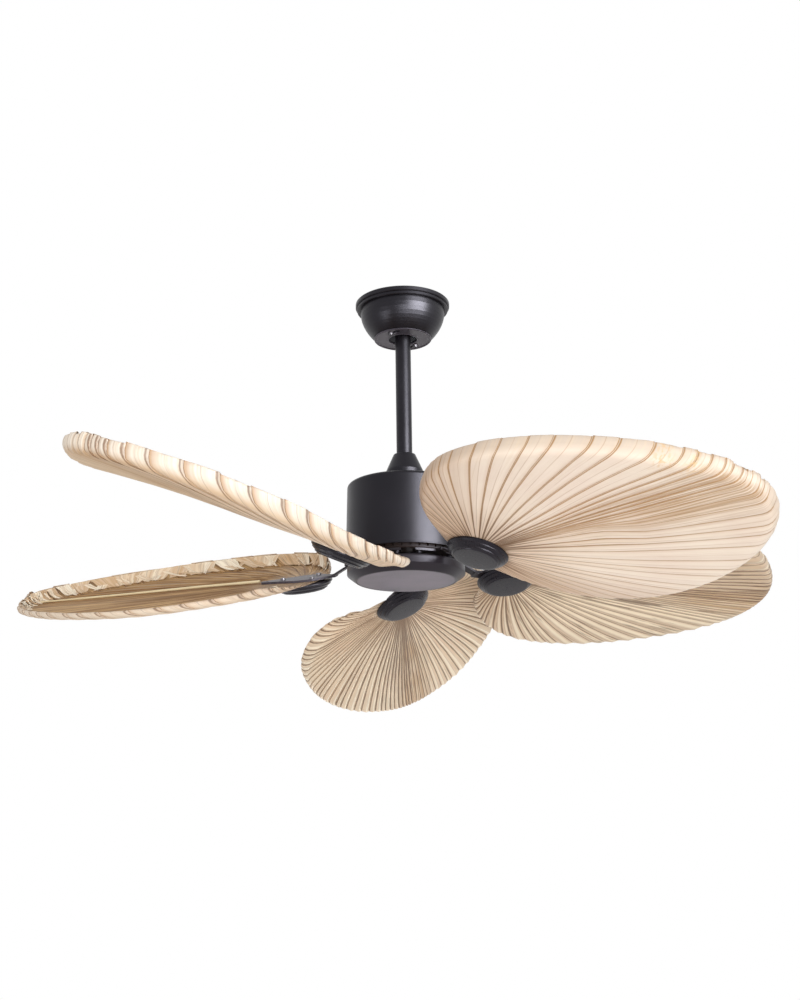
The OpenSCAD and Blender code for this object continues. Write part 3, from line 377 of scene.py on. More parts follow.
def stick_material():
    """Pale peeled stick with long grain and a few darker nodes."""
    s = shader("palm_stick")
    uv = s.add("SeparateXYZ", {0: s.add("TexCoord").outputs["UV"]})
    around, along = uv.outputs[0], uv.outputs[1]
    grain = s.noise(s.vector(s.times(around, 26), s.times(along, 5)), 1.0, 4.0, 0.6)
    patch = s.noise(s.vector(around, s.times(along, 14)), 1.0, 3.0)
    base = s.mix(s.span(grain, 0.35, 0.7), rgb(252, 240, 204), rgb(226, 200, 148))
    base = s.tint(base, s.span(patch, 0.6, 0.75), 0.5, rgb(160, 124, 78))
    return s.surface(Base_Color=base, Roughness=s.span(grain, 0.3, 0.7, 0.42, 0.6),
                     Normal=s.bump(grain, 0.0003))


# What palm is given for leaf_1 to leaf_5
LEAF_LOOKS = (
    dict(cream=rgb(247, 232, 216), blush=rgb(242, 224, 209), line=rgb(176, 134, 86),
         line_share=0.95, facet=0.05, streaks=0.0, hub_share=0.34, back_share=0.50,
         rim_share=0.90, rim_pale=rgb(210, 193, 176), rim_foot=0.15),
    dict(cream=rgb(228, 202, 170), blush=rgb(216, 186, 152), line=rgb(124, 88, 54),
         facet=0.10, hub_share=0.34, rim_share=1.0, rim_foot=0.80),
    dict(cream=rgb(234, 214, 190), blush=rgb(224, 200, 172), line=rgb(120, 84, 52),
         top_pale=rgb(222, 184, 130), top_dark=rgb(134, 92, 50), line_share=0.75,
         facet=0.12, hub_share=0.34, rim_share=0.9, rim_foot=0.70),
    dict(cream=rgb(255, 240, 214), blush=rgb(248, 226, 200), line=rgb(92, 64, 42),
         line_width=0.75, facet=0.55, hub_share=0.14),
    dict(cream=rgb(228, 208, 182), blush=rgb(216, 196, 170), line=rgb(90, 64, 42),
         line_width=0.8, facet=0.50, streaks=0.7, hub_share=0.20, back_share=0.1),
)


# ---------------------------------------------------------------- blades

# Lengths are in metres. Angles are in degrees, or in radians where they limit phi, which runs from
# 0 at a leaf's tip to pi at the hub and is positive on the low side. Five values in a row belong
# to leaf_1 to leaf_5.

BLADES = 5
# The first blade's direction, clockwise from x as seen from above
BLADE_START = 51.85
# The medallions' centres: distance from the fan's axis, and height
ARM_R = 0.1442
LEAF_Z = -0.3821
# How far the leaf leans to its low side at +y
PITCH = (18.8, 25.1, 21.5, 22.4, 15.1)
# How far it falls towards its tip
DROOP = (2.4, -2.0, 1.5, 14.1, 0.4)
# How much lower the arm's end hangs
DROP = (0, 0, 0.0025, 0.0112, 0)
# How far the leaf is turned about the medallion's centre
SKEW = (2.2, 0.3, -3.8, -4.9, 2.7)
LENGTH = tuple(0.450 * share for share in (1.00, 1.04, 1.01, 1.005, 0.985))
WIDTH = tuple(0.360 * share for share in (0.98, 0.93, 1.04, 0.89, 1.03))
# How far the leaf reaches behind the medallion's centre
LEAF_BACK = 0.026
# How much wider than the middle the hub's end is, and narrower the tip's, and the share that keeps
# WIDTH as it is
LEAF_EGG = 0.22
OUTLINE_W = 0.983
LEAF_T = 0.0024
# Radius of the part that the arm and the medallion clamp flat
FLAT_R = 0.062
# Between faces at a wider angle an edge is sharp
SHARP = 50


def blade_matrix(i):
    return (Matrix.Rotation(math.radians(-(BLADE_START + 360 / BLADES * i)), 4, "Z")
            @ Matrix.Translation((ARM_R, 0, LEAF_Z - DROP[i]))
            @ Matrix.Rotation(math.radians(DROOP[i]), 4, "Y")
            @ Matrix.Rotation(math.radians(-PITCH[i]), 4, "X")
            @ Matrix.Rotation(math.radians(SKEW[i]), 4, "Z"))


def outline(i, phi):
    """Leaf i's outline at phi, as x and y from the medallion's centre."""
    x = LENGTH[i] / 2 - LEAF_BACK + LENGTH[i] / 2 * np.cos(phi)
    y = WIDTH[i] / 2 * OUTLINE_W * np.sin(phi) * (1 - LEAF_EGG * np.cos(phi))
    return x, y


def ease(value, low, high):
    """Smooth step from 0 at low to 1 at high."""
    u = np.clip((value - low) / (high - low), 0, 1)
    return u * u * (3 - 2 * u)


def blade_mesh(name, i, points, faces, layer, uvs):
    """A smooth mesh on blade i, from points in the leaf's own frame."""
    mesh = bpy.data.meshes.new(name)
    mesh.from_pydata([tuple(point) for point in points], [], faces)
    mesh.uv_layers.new(name=layer).data.foreach_set("uv", np.array(uvs, float).ravel())
    mesh.transform(blade_matrix(i))
    mesh.update()
    mesh.shade_smooth()
    mesh.set_sharp_from_angle(angle=math.radians(SHARP))
    return mesh


# ---------------------------------------------------------------- leaves

# Usual width of a fold at some directions from the tip, and how much it varies
FOLD_AT = (0, 5, 10, 20, 40, 70)
FOLD_W = (1.5, 1.9, 3.4, 5.0, 6.0, 6.8)
FOLD_VARY = 0.32
# Number of folds against the usual one
DENSITY = (1.0, 0.80, 0.9, 1.65, 1.4)
# From which direction on, and to what share of their width, the folds are closer
CLOSER = ((50, 0.6), (16, 0.55), (60, 0.8), (60, 1.0), (60, 1.0))
CLOSER_OVER = 25
# From this width on a fold is wide, and its columns of points, from 0 at its crease to 1 at the
# next, if it is wide or narrow
WIDE_FOLD = 3.4
WIDE_PLACES = (0.0, 0.03, 0.12, 0.30, 0.50, 0.70, 0.90, 0.975)
NARROW_PLACES = (0.0, 0.05, 0.27, 0.5, 0.75, 0.96)
# Steps in which an outline's directions are measured from the tip to the hub
OUTLINE_STEPS = 720

# Rise of the sheet from a crease to the next, where it drops back: height, its greatest share of
# the fold's width, the level that is its mean, its curve, and how much it varies
STEP = (0.0009, 0.0016, 0.0016, 0.0014, 0.0014)
STEP_LIMIT = 0.2
STEP_MEAN = 0.45
STEP_CURVE = 0.8
STEP_VARY = 0.25
# The same for the ridge along the middle of a fold
RIDGE = (0.0010, 0.0016, 0.0018, 0.0036, 0.0030)
RIDGE_LIMIT = 0.16
RIDGE_MEAN = 0.5
# Distance from the hub where the folds begin and where they are full
FOLDS_FROM = (0.036, 0.052)
# The sheet's slow waves: number, height, the distance from the hub where they begin and are full,
# and the range of their random phases
WAVES = 6
WAVE_H = 0.0016
WAVES_FROM = (0.06, 0.14)
WAVE_PHASES = (0, 6.28)
# Random values of the folds, and how far the high side's are shifted in their list
ODDS = 200
ODD_SHIFT = 90

# Sweep of the creases towards the tip on the low and on the high side, its share on the flat part
# of the leaf, and its curves round the leaf and outwards
SWEEP = ((13, 4), (13, 10), (20, 10), (16, 8), (8, 6))
FLAT_SHARE = (0.62, 0.62, 0.55, 0.45, 0.5)
SWEEP_ROUND = 0.7
SWEEP_OUT = 2.2
# Lean of the midrib, and how wide about the tip that is felt
LEAN = (-9, 0, 0, 0, 0)
LEAN_SPREAD = 0.8
# How closely the low side's first creases hug the midrib, and over which rows and phi they leave it
HUG = (0.55, 0, 0, 0, 0)
HUG_ROWS = (0.40, 0.62)
HUG_PHI = (0.25, 0.9)

# Rows of points on the flat part below and on top, how far inside the outline they end, and the
# curve of their distances
UNDER_ROWS, UNDER_INSET, UNDER_CURVE = 22, 0.016, 1.15
OVER_ROWS, OVER_INSET, OVER_CURVE = 14, 0.0150, 1.1
# Radius of the first row, and its greatest share of the outline's distance
FIRST_R = 0.030
FIRST_SHARE = 0.4
# Where the outline is nearer to the hub than this, the rim's section is narrower
NEAR_HUB = 0.060

RIM_H = 0.020
# Share of that height on the low side
LOW_RIM = (1, 1, 0.5, 1, 1)
# The rim's section from its outer foot over the crest to its inner foot: distance outwards from the
# outline, height, and share of the sweep that is left
RIM_SECTION = (
    (-0.0160, 0.0000, 0), (-0.0100, 0.0007, 0.11), (-0.0058, 0.0024, 0.29),
    (-0.0027, 0.0052, 0.53), (-0.0008, 0.0090, 0.71), (0.0000, 0.0130, 0.84),
    (-0.0003, 0.0168, 0.92), (-0.0013, 0.0193, 1), (-0.0030, 0.0202, 1),
    (-0.0045, 0.0190, 0.92), (-0.0054, 0.0160, 0.84), (-0.0060, 0.0122, 0.74),
    (-0.0072, 0.0085, 0.63), (-0.0096, 0.0056, 0.47), (-0.0135, 0.0034, 0.32),
)
# How many of its rows are the outer wall, and how many show the leaf's underside
OUTER_ROWS = 8
CREST_ROWS = 9
# On each side of the hub's direction the rim is missing, and then rises over some degrees
HUB_GAP = 9
HUB_RISE = 15
# How far a fold stands out on the outer wall, and the level that is its mean
WALL = (0.0012, 0.0040, 0.0032, 0.0010, 0.0014)
WALL_MEAN = 0.4
# Depth and width of the notch between two folds on the outer wall
NOTCH = (0.0008, 0.0012, 0.0012, 0.0014, 0.0010)
NOTCH_W = 0.004
# Heights on the rim over which these begin: folds and notches of the outer wall, varying height,
# the rim's own colour outside, and the painted shade inside
WALL_FROM = (0.002, 0.010)
VARY_FROM = (0.008, 0.02)
PALE_FROM = (0.001, 0.008)
INSIDE_SHADE_FROM = (0.006, 0.018)
# Heights over which these end: the flat part's relief, and the sheet's thickness on the inside
RELIEF_TO = (0.0, 0.006)
SHEET_TO = (0.004, 0.014)
# How much the rim's height varies slowly and from fold to fold, and how crumpled its inside is;
# the second value of a pair is added at the tip
RIM_SLOW = 0.06
RIM_VARY = (0.05, 0.08)
CRUMPLE = (0.0008, 0.0010)
# How far the low side's rim leans out near the hub, and over which phi that begins
FLARE = (0, 0, 0, 0.011, 0)
FLARE_PHI = (1.8, 2.6)
# How high the low corner at the hub curls up, and over which phi that begins and ends
CURL = (0, 0.009, 0, 0, 0)
CURL_PHI = (1.5, 2.3)
CURL_END = (2.6, 3.05)
# Twist of the leaf at its tip, and the distance from the hub where it begins
TWIST = (0, 7.0, 0, 0, 0)
TWIST_FROM = 0.12
# How wide about the tip the rim is more crumpled
TIP_SPREAD = 0.42
# Over which phi the hub's end of the leaf gets its own tan
HUBWARD_PHI = (1.4, 2.5)

# A torn end's path over the rim and down inside it: distance outwards from the outline, and height
FLAP_PATH = (
    (-0.0036, 0.0192), (-0.0058, 0.0188), (-0.0080, 0.0150), (-0.0105, 0.0100),
    (-0.0128, 0.0062), (-0.0140, 0.0042),
)
FLAP_ACROSS = (-1, -0.5, 0, 0.5, 1)
# Small scraps to a fold over the torn ends, and how much further in they lie
SCRAPS = (0, 0, 2, 0, 0)
SCRAP_INSET = 0.0022
# Rim's share of its height from which on a fold has torn ends
FLAP_SHARE = 0.4
# A flap's place in the material: start and step across it, steps of its path to a metre, and the
# number of pleats between a flap and a scrap over it
FLAP_START = 0.15
FLAP_STEP = 0.17
FLAP_STEPS = 160
SCRAP_PLEATS = 60
# Stains on the underside: x, y and radius
STAINS = {0: ((0.366, -0.090, 0.015), (0.388, -0.067, 0.013))}


def pleat_marks(rng, density, closer):
    """Directions of the creases on one side, in degrees from the tip round to the hub."""
    marks = [0.0]
    while marks[-1] < 180:
        here = marks[-1]
        step = np.interp(here, FOLD_AT, FOLD_W) / density
        step *= np.interp(here, (closer[0], closer[0] + CLOSER_OVER), (1, closer[1]))
        marks.append(here + step * rng.uniform(1 - FOLD_VARY, 1 + FOLD_VARY))
    return [m * 180 / marks[-1] for m in marks]


def leaf_columns(i, rng):
    """Every column round the leaf, from the tip along the low side and back along the high side:
    phi, number of the fold, place in the fold, the fold's angle, and 1 or -1 for the side."""
    grid = np.radians(np.linspace(0, 180, OUTLINE_STEPS + 1))
    gx, gy = outline(i, grid)
    theta = np.degrees(np.arctan2(gy, gx))
    theta[-1] = 180.0
    columns = []
    for side in (1, -1):
        marks = pleat_marks(rng, DENSITY[i], CLOSER[i])
        run = []
        for k in range(len(marks) - 1):
            gap = marks[k + 1] - marks[k]
            places = WIDE_PLACES if gap > WIDE_FOLD else NARROW_PLACES
            run += [(k, t, marks[k] + gap * t, gap) for t in places]
        run.append((len(marks) - 1, 0.0, 180.0, gap))
        if side < 0:
            run = run[-2:0:-1]
        for k, t, angle, gap in run:
            phi = float(np.interp(angle, theta, np.degrees(grid)))
            columns.append((side * math.radians(phi), k, t, gap, side))
    return columns


class Leaf:
    """A folded sheet with an upturned rim and torn ends that are folded inwards over it.

    The sheet is a stack of rows. Each row has one point for every column round the leaf, and
    the rows run from the hub outwards below, over the rim, and on top inwards to the hub again.
    """

    def __init__(self, i):
        self.i = i
        self.rng = rng = random.Random(40 + i)
        columns = leaf_columns(i, rng)
        self.n = len(columns)
        phi, pleat, t, gap, side = (np.array(c, float) for c in zip(*columns))
        self.phi, self.pleat, self.t, self.side = phi, pleat, t, side
        self.gap = np.radians(gap)
        self.waves = [(rng.uniform(1.5, 5), rng.uniform(*WAVE_PHASES), rng.uniform(0.8, 3),
                       rng.uniform(*WAVE_PHASES)) for _ in range(WAVES)]
        odd = np.array([rng.uniform(-1, 1) for _ in range(ODDS)])
        self.own = odd[(pleat.astype(int) + np.where(side > 0, 0, ODD_SHIFT)) % ODDS]
        self.rise = t ** STEP_CURVE
        self.ridge = 1 - np.abs(2 * t - 1)
        self.sweep = np.radians(np.where(side > 0, *SWEEP[i])) * np.abs(np.sin(phi)) ** SWEEP_ROUND
        self.tip = np.exp(-(phi / TIP_SPREAD) ** 2)
        self.curl = CURL[i] * ease(phi, *CURL_PHI) * (1 - ease(phi, *CURL_END))
        # the rim's share of its full height
        share = np.clip((np.abs(np.abs(np.degrees(phi)) - 180) - HUB_GAP) / HUB_RISE, 0, 1)
        low = np.minimum(1, 2 * np.maximum(0, np.sin(phi)))
        self.share = share * (1 - (1 - LOW_RIM[i]) * low)
        # of each row: its points, and for each of them the distance from the hub, the fold's
        # width, 1 on the top side, and 1 on the rim
        self.rows, self.radius, self.width, self.top, self.rim = [], [], [], [], []

    def slow(self, angle, r):
        """Slow waves, from about -1 to 1."""
        waves = (np.sin(a * angle + b) * np.sin(c * r * 10 + d) for a, b, c, d in self.waves)
        return sum(waves) / 3

    def wavy(self, r):
        """How far the waves lift the sheet."""
        return WAVE_H * self.slow(self.phi, r) * ease(r, *WAVES_FROM)

    def relief(self, r):
        """How far the folded sheet stands below its mean plane."""
        width = r * self.gap
        step = np.minimum(STEP[self.i] * (1 + STEP_VARY * self.own), STEP_LIMIT * width)
        step = step * (self.rise - STEP_MEAN)
        ridge = np.minimum(RIDGE[self.i], RIDGE_LIMIT * width) * (self.ridge - RIDGE_MEAN)
        return ease(r, *FOLDS_FROM) * (step + ridge)

    def turned(self, turn, s=1.0):
        """phi after the crease's bend towards the tip; turn is its share of the whole bend."""
        i, phi = self.i, self.phi
        hug = HUG[i] * (1 - ease(s, *HUG_ROWS)) * (1 - ease(phi, *HUG_PHI)) * (phi > 0)
        midrib = math.radians(LEAN[i]) * np.exp(-(phi / LEAN_SPREAD) ** 2)
        return phi * (1 - hug) - np.sign(phi) * self.sweep * turn + midrib

    def spokes(self, turn, s=1.0):
        """Of each column: the outline's x and y, their distance from the hub, and the share of
        its width that the rim has there."""
        x, y = outline(self.i, self.turned(turn, s))
        far = np.hypot(x, y)
        return x, y, far, np.minimum(1, far / NEAR_HUB)

    def add_row(self, x, y, far, r, z, top, rim):
        self.rows.append(np.stack((x / far * r, y / far * r, z), axis=1))
        self.radius.append(r)
        self.width.append(np.maximum(r, 0.02) * self.gap)
        self.top.append(np.full(self.n, top))
        self.rim.append(rim * self.share)

    def flat_row(self, s, turn, inset, top):
        """A row of the flat part; s runs from 0 at the hub to 1 at the rim's foot."""
        x, y, far, fit = self.spokes(turn * s ** SWEEP_OUT, s)
        r = np.minimum(FIRST_R, FIRST_SHARE * far) * (1 - s) + (far - inset * fit) * s
        if top:
            z = LEAF_T - self.relief(r) * ease(r, FLAT_R, FLAT_R + 0.03)
        else:
            z = -self.relief(r)
        self.add_row(x, y, far, r, z + self.wavy(r) + self.curl * ease(s, 0.55, 1), top, 0.0)

    def rim_row(self, q, inset, high, part):
        """Row q of the rim's section."""
        i = self.i
        outer = q < OUTER_ROWS
        wall = ease(high, *WALL_FROM) if outer else 0.0
        lift = (1 + RIM_SLOW * self.slow(self.phi * 3, np.full_like(self.phi, 0.3))
                + (RIM_VARY[0] + RIM_VARY[1] * self.tip) * self.own * ease(high, *VARY_FROM))
        crumple = 0.0
        if not outer:
            drawn = np.array([self.rng.uniform(-1, 1) for _ in range(self.n)])
            crumple = (CRUMPLE[0] + CRUMPLE[1] * self.tip) * drawn
        edge = 1 - ease(np.minimum(self.t, 1 - self.t) * self.gap * 0.25, 0.0, NOTCH_W)
        lean = FLARE[i] * ease(high, 0, RIM_H) * ease(self.phi, *FLARE_PHI)
        x, y, far, fit = self.spokes(FLAT_SHARE[i] + (1 - FLAT_SHARE[i]) * part)
        r = far + (inset + WALL[i] * wall * (self.rise - WALL_MEAN) - NOTCH[i] * wall * edge
                   + crumple + lean) * fit
        base = (-self.relief(r) + self.wavy(r)) * (1 - ease(high, *RELIEF_TO))
        if not outer:
            base = base + LEAF_T * (1 - ease(high, *SHEET_TO)) * 0.6
        sheet = LEAF_T * q / (len(RIM_SECTION) - 1)
        z = (high * lift * self.share + base * self.share + sheet * (1 - self.share)
             + self.curl * (1 - high / RIM_H * 0.98))
        if q < CREST_ROWS:
            self.add_row(x, y, far, r, z, 0.0, ease(high, *PALE_FROM))
        else:
            self.add_row(x, y, far, r, z, 1.0, ease(high, *INSIDE_SHADE_FROM))

    def build_rows(self):
        for q in range(UNDER_ROWS):
            self.flat_row((q / UNDER_ROWS) ** UNDER_CURVE, FLAT_SHARE[self.i], UNDER_INSET, 0.0)
        for q, section in enumerate(RIM_SECTION):
            self.rim_row(q, *section)
        for q in range(OVER_ROWS):
            s = 1 - q / OVER_ROWS * 0.999
            self.flat_row(s ** OVER_CURVE, 0.8 * FLAT_SHARE[self.i] + 0.2, OVER_INSET, 1.0)

    def build_sheet(self):
        """Points, faces and places in the material of the rows, closed at the hub on both sides."""
        n, side, pleat = self.n, self.side, self.pleat
        points = np.array(self.rows)
        count = len(points)
        path = np.array(self.radius)
        for q in range(1, count - OVER_ROWS):
            path[q] = path[q - 1] + np.linalg.norm(points[q] - points[q - 1], axis=1)

        self.verts = [tuple(v) for v in points.reshape(-1, 3)] + [(0, 0, 0), (0, 0, LEAF_T)]
        self.faces, self.uvs = [], []
        below, above = count * n, count * n + 1
        u = side * (pleat + self.t)
        for c in range(n):
            d = (c + 1) % n
            u0, u1 = u[c], u[d]
            if side[c] > 0 > side[d]:
                u0 = side[d] * pleat[side < 0].max() - 1
            if d == 0:
                u1 = 0.0
            for q in range(count - 1):
                self.faces.append((q * n + c, (q + 1) * n + c, (q + 1) * n + d, q * n + d))
                self.uvs += [(u0, path[q, c]), (u0, path[q + 1, c]),
                             (u1, path[q + 1, d]), (u1, path[q, d])]
            self.faces.append((below, c, d))
            self.uvs += [(u0, 0), (u0, path[0, c]), (u1, path[0, d])]
            self.faces.append((above, (count - 1) * n + d, (count - 1) * n + c))
            self.uvs += [(u1, 0), (u1, path[-1, d]), (u0, path[-1, c])]

    def flap(self, k, last, number):
        """One torn end over the fold from column k to column last; from number 1 on, a scrap."""
        i, rng, scrap = self.i, self.rng, number > 0
        at = rng.uniform(0.1, 0.9) if scrap else 0.5
        cut = self.crest[k] + (self.crest[last] - self.crest[k]) * at
        if scrap:
            half = rng.uniform(0.10, 0.26)
        else:
            half = rng.uniform(0.34, 0.62) + 0.1 * SCRAPS[i]
        half = abs(self.crest[last] - self.crest[k]) * half
        lean = rng.uniform(0.02, 0.13) * rng.choice((-1, 1, 1))
        lean = lean * math.copysign(min(1, abs(cut)), cut)
        reach, fan = rng.uniform(0.0, 0.012 if scrap else 0.009), rng.uniform(0.35, 0.8)
        reaches = (0, 0, 0, 0, 0.5 * reach, reach)
        path = [(inset - more, up) for (inset, up), more in zip(FLAP_PATH, reaches)]
        if scrap:
            path = [(inset - SCRAP_INSET, up) for inset, up in path[rng.choice((1, 2, 3)):]]

        begin, across = len(self.verts), len(FLAP_ACROSS)
        for q, (inset, up) in enumerate(path):
            f = q / (len(path) - 1)
            for g in FLAP_ACROSS:
                spot = cut + half * g * (1 - (1 - fan) * f) + lean * f
                x, y = outline(i, spot)
                far = math.hypot(x, y)
                flare = FLARE[i] * float(ease(spot, *FLARE_PHI)) * up / RIM_H
                r = far + inset + rng.uniform(-0.0009, 0.0007) + flare
                bulge = 0.0012 * (1 - abs(g)) * min(1, 3 * f) + rng.uniform(-0.0006, 0.0006)
                z = (LEAF_T * f + (up + bulge - LEAF_T * f) * self.share[k]
                     + self.curl[k] * (1 - up / RIM_H))
                self.verts.append((x / far * r, y / far * r, z))
        step = self.side[k] * FLAP_STEP
        for q in range(len(path) - 1):
            for g in range(across - 1):
                v = begin + q * across + g
                self.faces.append((v, v + 1, v + across + 1, v + across))
                u = self.pleat[k] + SCRAP_PLEATS * number + FLAP_START + FLAP_STEP * g
                u = self.side[k] * u
                v0, v1 = q / FLAP_STEPS, (q + 1) / FLAP_STEPS
                self.uvs += [(u, v0), (u + step, v0), (u + step, v1), (u, v1)]

    def build_flaps(self):
        """Torn ends over the rim, fold by fold."""
        self.crest = self.turned(1.0)
        for _, fold in groupby(range(self.n), lambda c: (self.pleat[c], self.side[c])):
            fold = list(fold)
            k, last = fold[0], fold[-1]
            if self.share[k] > FLAP_SHARE and self.share[last] > FLAP_SHARE:
                for number in range(1 + SCRAPS[self.i]):
                    self.flap(k, last, number)

    def twisted(self):
        """All points after the leaf's twist about its midrib."""
        points = np.array(self.verts, float)
        turn = np.radians(TWIST[self.i])
        angle = turn * ease(points[:, 0], TWIST_FROM, LENGTH[self.i] - LEAF_BACK)
        y, z = points[:, 1].copy(), points[:, 2].copy()
        points[:, 1] = y * np.cos(angle) - z * np.sin(angle)
        points[:, 2] = y * np.sin(angle) + z * np.cos(angle)
        return points

    def mesh(self):
        self.build_rows()
        self.build_sheet()
        first = len(self.verts)
        self.build_flaps()
        extra = len(self.verts) - first
        points = self.twisted()
        name = f"palm_leaf_{self.i + 1}"
        mesh = blade_mesh(name, self.i, points, self.faces, "leaf", self.uvs)

        stain = np.zeros(len(points))
        for x, y, size in STAINS.get(self.i, ()):
            off = np.hypot(points[:, 0] - x, points[:, 1] - y)
            stain = np.maximum(stain, 1 - ease(off, 0.3 * size, size))

        def spread(rows, below, above, flaps):
            """One value for each point of the rows, the two hub points and the flaps."""
            return np.concatenate([np.ravel(rows), [below, above], np.full(extra, flaps)])

        hubward = np.tile(ease(np.abs(self.phi), *HUBWARD_PHI), len(self.rows))
        for attribute, values in (
            ("pleat_width", spread(self.width, 0.01, 0.01, 0.02)),
            ("top", spread(self.top, 0.0, 1.0, 1.0)),
            ("rim", spread(self.rim, 0.0, 0.0, 0.0)),
            ("frill", spread(np.zeros(first - 2), 0.0, 0.0, 1.0)),
            ("stain", stain),
            ("hubward", spread(hubward, 0.0, 0.0, 0.0)),
        ):
            mesh.attributes.new(attribute, "FLOAT", "POINT").data.foreach_set("value", values)
        return mesh


def add_to_rotor(name, mesh, material, node):
    """Puts the mesh in the place of a node; it turns with the rotor."""
    obj = bpy.data.objects.new(name, mesh)
    scene.collection.objects.link(obj)
    mesh.materials.append(material)
    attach(obj, "rotor")
    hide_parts(node)


for i in range(BLADES):
    name = f"palm_leaf_{i + 1}"
    add_to_rotor(name, Leaf(i).mesh(), palm(name, **LEAF_LOOKS[i]), f"leaf_{i + 1}")


# ---------------------------------------------------------------- sticks

# Where a stick starts, how far short of the leaf's tip it ends, its radius, and its gap above the
# leaf
STICK_START = 0.063
STICK_SHORT = 0.015
STICK_R = 0.0019
STICK_GAP = 0.0016
STICK_RINGS, STICK_SIDES = 40, 12


def stick_mesh(i, name):
    """A peeled stick along the leaf: slightly bent, thinner towards the tip."""
    rng = random.Random(70 + i)
    rings, sides = STICK_RINGS, STICK_SIDES
    length = LENGTH[i] - LEAF_BACK - STICK_SHORT - STICK_START
    lean, bow = rng.uniform(-0.0006, 0.0006), rng.uniform(0.6, 1.4)
    verts, faces, uvs = [], [], []
    for q in range(rings + 1):
        s = q / rings
        x = STICK_START + length * s
        thin = STICK_R * (1 - 0.35 * s) * (1 + 0.05 * math.sin(17 * s + i))
        y = lean * math.sin(math.pi * s * bow)
        z = LEAF_T + STICK_GAP + STICK_R + 0.0003 * math.sin(2 * math.pi * s * bow)
        for k in range(sides):
            a = 2 * math.pi * k / sides
            verts.append((x, y + thin * math.cos(a), z + thin * math.sin(a)))
    for q in range(rings):
        for k in range(sides):
            a, b = q * sides + k, q * sides + (k + 1) % sides
            faces.append((a, b, b + sides, a + sides))
            u0, u1 = k / sides, (k + 1) / sides
            v0, v1 = q / rings, (q + 1) / rings
            uvs += [(u0, v0), (u1, v0), (u1, v1), (u0, v1)]
    faces.append(tuple(range(sides))[::-1])
    faces.append(tuple(rings * sides + k for k in range(sides)))
    uvs += [(0.5, 0)] * sides + [(0.5, 1)] * sides
    return blade_mesh(name, i, verts, faces, "UVMap", uvs)


peeled = stick_material()
for i in range(BLADES):
    name = f"palm_stick_{i + 1}"
    add_to_rotor(name, stick_mesh(i, name), peeled, f"leaf_stick_{i + 1}")


# ---------------------------------------------------------------- finishes of the CAD nodes

# Nodes whose looks differ from their slot's
own_finish = {
    "switch_housing": paint("cap_paint", rgb(34, 29, 34), 0.36, 0.30),
    "canopy_cover": paint("cover_paint", rgb(64, 60, 68), 0.34, 0.22),
    "canopy_screws": bare_metal("screw_steel", rgb(84, 82, 86), 0.36, ROUND, 0.3),
    "arm_screws": finish["black_metal"],
}
for row in frame["record"]["subparts"]:
    material = own_finish.get(row["node"], finish.get(row["material_slot"]))
    if material:
        obj = frame["nodes"][row["node"]]
        obj.data.materials.clear()
        obj.data.materials.append(material)


# ---------------------------------------------------------------- camera

CAMERA_AT = (-0.00686, -1.83824, -0.80244)
# How far it looks up, and how far it is rolled
CAMERA_UP = 15.78
CAMERA_ROLL = -0.74
CAMERA_LENS = 51.31
CAMERA_SENSOR = 36

camera_data = bpy.data.cameras.new("camera")
camera_data.lens = CAMERA_LENS
camera_data.sensor_width = CAMERA_SENSOR
camera = bpy.data.objects.new("camera", camera_data)
scene.collection.objects.link(camera)
camera.matrix_world = (Matrix.Translation(CAMERA_AT)
                       @ Matrix.Rotation(math.radians(90 + CAMERA_UP), 4, "X")
                       @ Matrix.Rotation(math.radians(CAMERA_ROLL), 4, "Z"))
scene.camera = camera


# ---------------------------------------------------------------- floor, world and lamps

WORLD_LIGHT = 0.74
WORLD_TONE = (1.0, 0.985, 0.965, 1)
FLOOR_Z = -1.30
FLOOR_R = 3.2
FLOOR_SIDES = 96
# The floor fades out between these distances from the axis
FLOOR_FADE = (1.6, 3.0)
FLOOR_GREY = (0.90, 0.90, 0.90, 1)
LAMPS_AIM = (0, 0, -0.33)


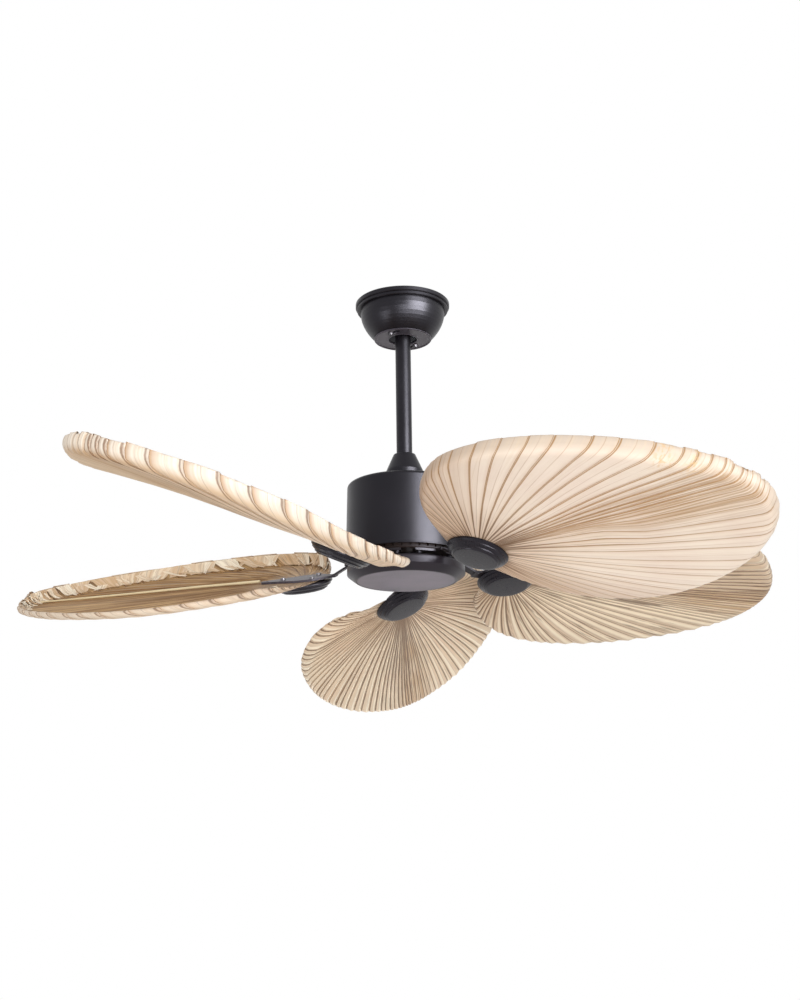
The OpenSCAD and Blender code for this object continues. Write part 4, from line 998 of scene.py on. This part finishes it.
def white_world():
    """White where it is seen, directly, mirrored or through glass, and slightly warm as light."""
    world = bpy.data.worlds.new("studio")
    scene.world = world
    s = Nodes(world)
    path = s.add("LightPath")
    seen = s.either(path.outputs["Is Camera Ray"], path.outputs["Is Glossy Ray"])
    seen = s.either(seen, path.outputs["Is Transmission Ray"])
    light = s.add("Background", {"Color": WORLD_TONE, "Strength": WORLD_LIGHT})
    white = s.add("Background", {"Color": (1, 1, 1, 1), "Strength": 1.0})
    s.add("OutputWorld", {"Surface": s.add("MixShader", {0: seen, 1: light, 2: white})})


def floor():
    mesh = bpy.data.meshes.new("floor")
    turns = [2 * math.pi * k / FLOOR_SIDES for k in range(FLOOR_SIDES)]
    ring = [(FLOOR_R * math.cos(a), FLOOR_R * math.sin(a), FLOOR_Z) for a in turns]
    mesh.from_pydata(ring, [], [tuple(range(FLOOR_SIDES))])
    obj = bpy.data.objects.new("floor", mesh)
    scene.collection.objects.link(obj)
    s = shader("floor")
    clear = s.span(s.from_axis(s.place()), *FLOOR_FADE)
    grey = s.add("BsdfDiffuse", {"Color": FLOOR_GREY})
    blend = s.add("MixShader", {0: clear, 1: grey, 2: s.add("BsdfTransparent")})
    s.add("OutputMaterial", {"Surface": blend})
    mesh.materials.append(s.owner)


def lamp(name, azimuth, elevation, distance, size, power, spread=180, gloss=True, matt=True):
    """A soft box aimed at the fan; azimuth 0 is the camera's side, positive to the right. Without
    matt it only shows as a reflection, and without gloss it shows in none."""
    data = bpy.data.lights.new(name, "AREA")
    data.shape = "RECTANGLE"
    data.size, data.size_y = size
    data.energy = power
    data.spread = math.radians(spread)
    obj = bpy.data.objects.new(name, data)
    scene.collection.objects.link(obj)
    obj.visible_camera = False
    obj.visible_diffuse = matt
    obj.visible_glossy = gloss
    a, e = math.radians(azimuth), math.radians(elevation)
    back = Vector((math.sin(a) * math.cos(e), -math.cos(a) * math.cos(e), math.sin(e)))
    obj.location = Vector(LAMPS_AIM) + back * distance
    obj.rotation_mode = "QUATERNION"
    obj.rotation_quaternion = back.to_track_quat("Z", "Y")


white_world()
floor()
lamp("box_low", 8, -16, 2.6, (1.6, 0.6), 8.5, spread=80)
lamp("fill_back", 180, -14, 2.4, (1.4, 0.74), 7.5, spread=90, gloss=False)
lamp("reflector_right", 42, 3, 2.3, (1.8, 1.3), 250, matt=False)
lamp("reflector_left", -52, -24, 1.9, (0.7, 0.7), 16, matt=False)

scene.view_settings.view_transform = "Standard"
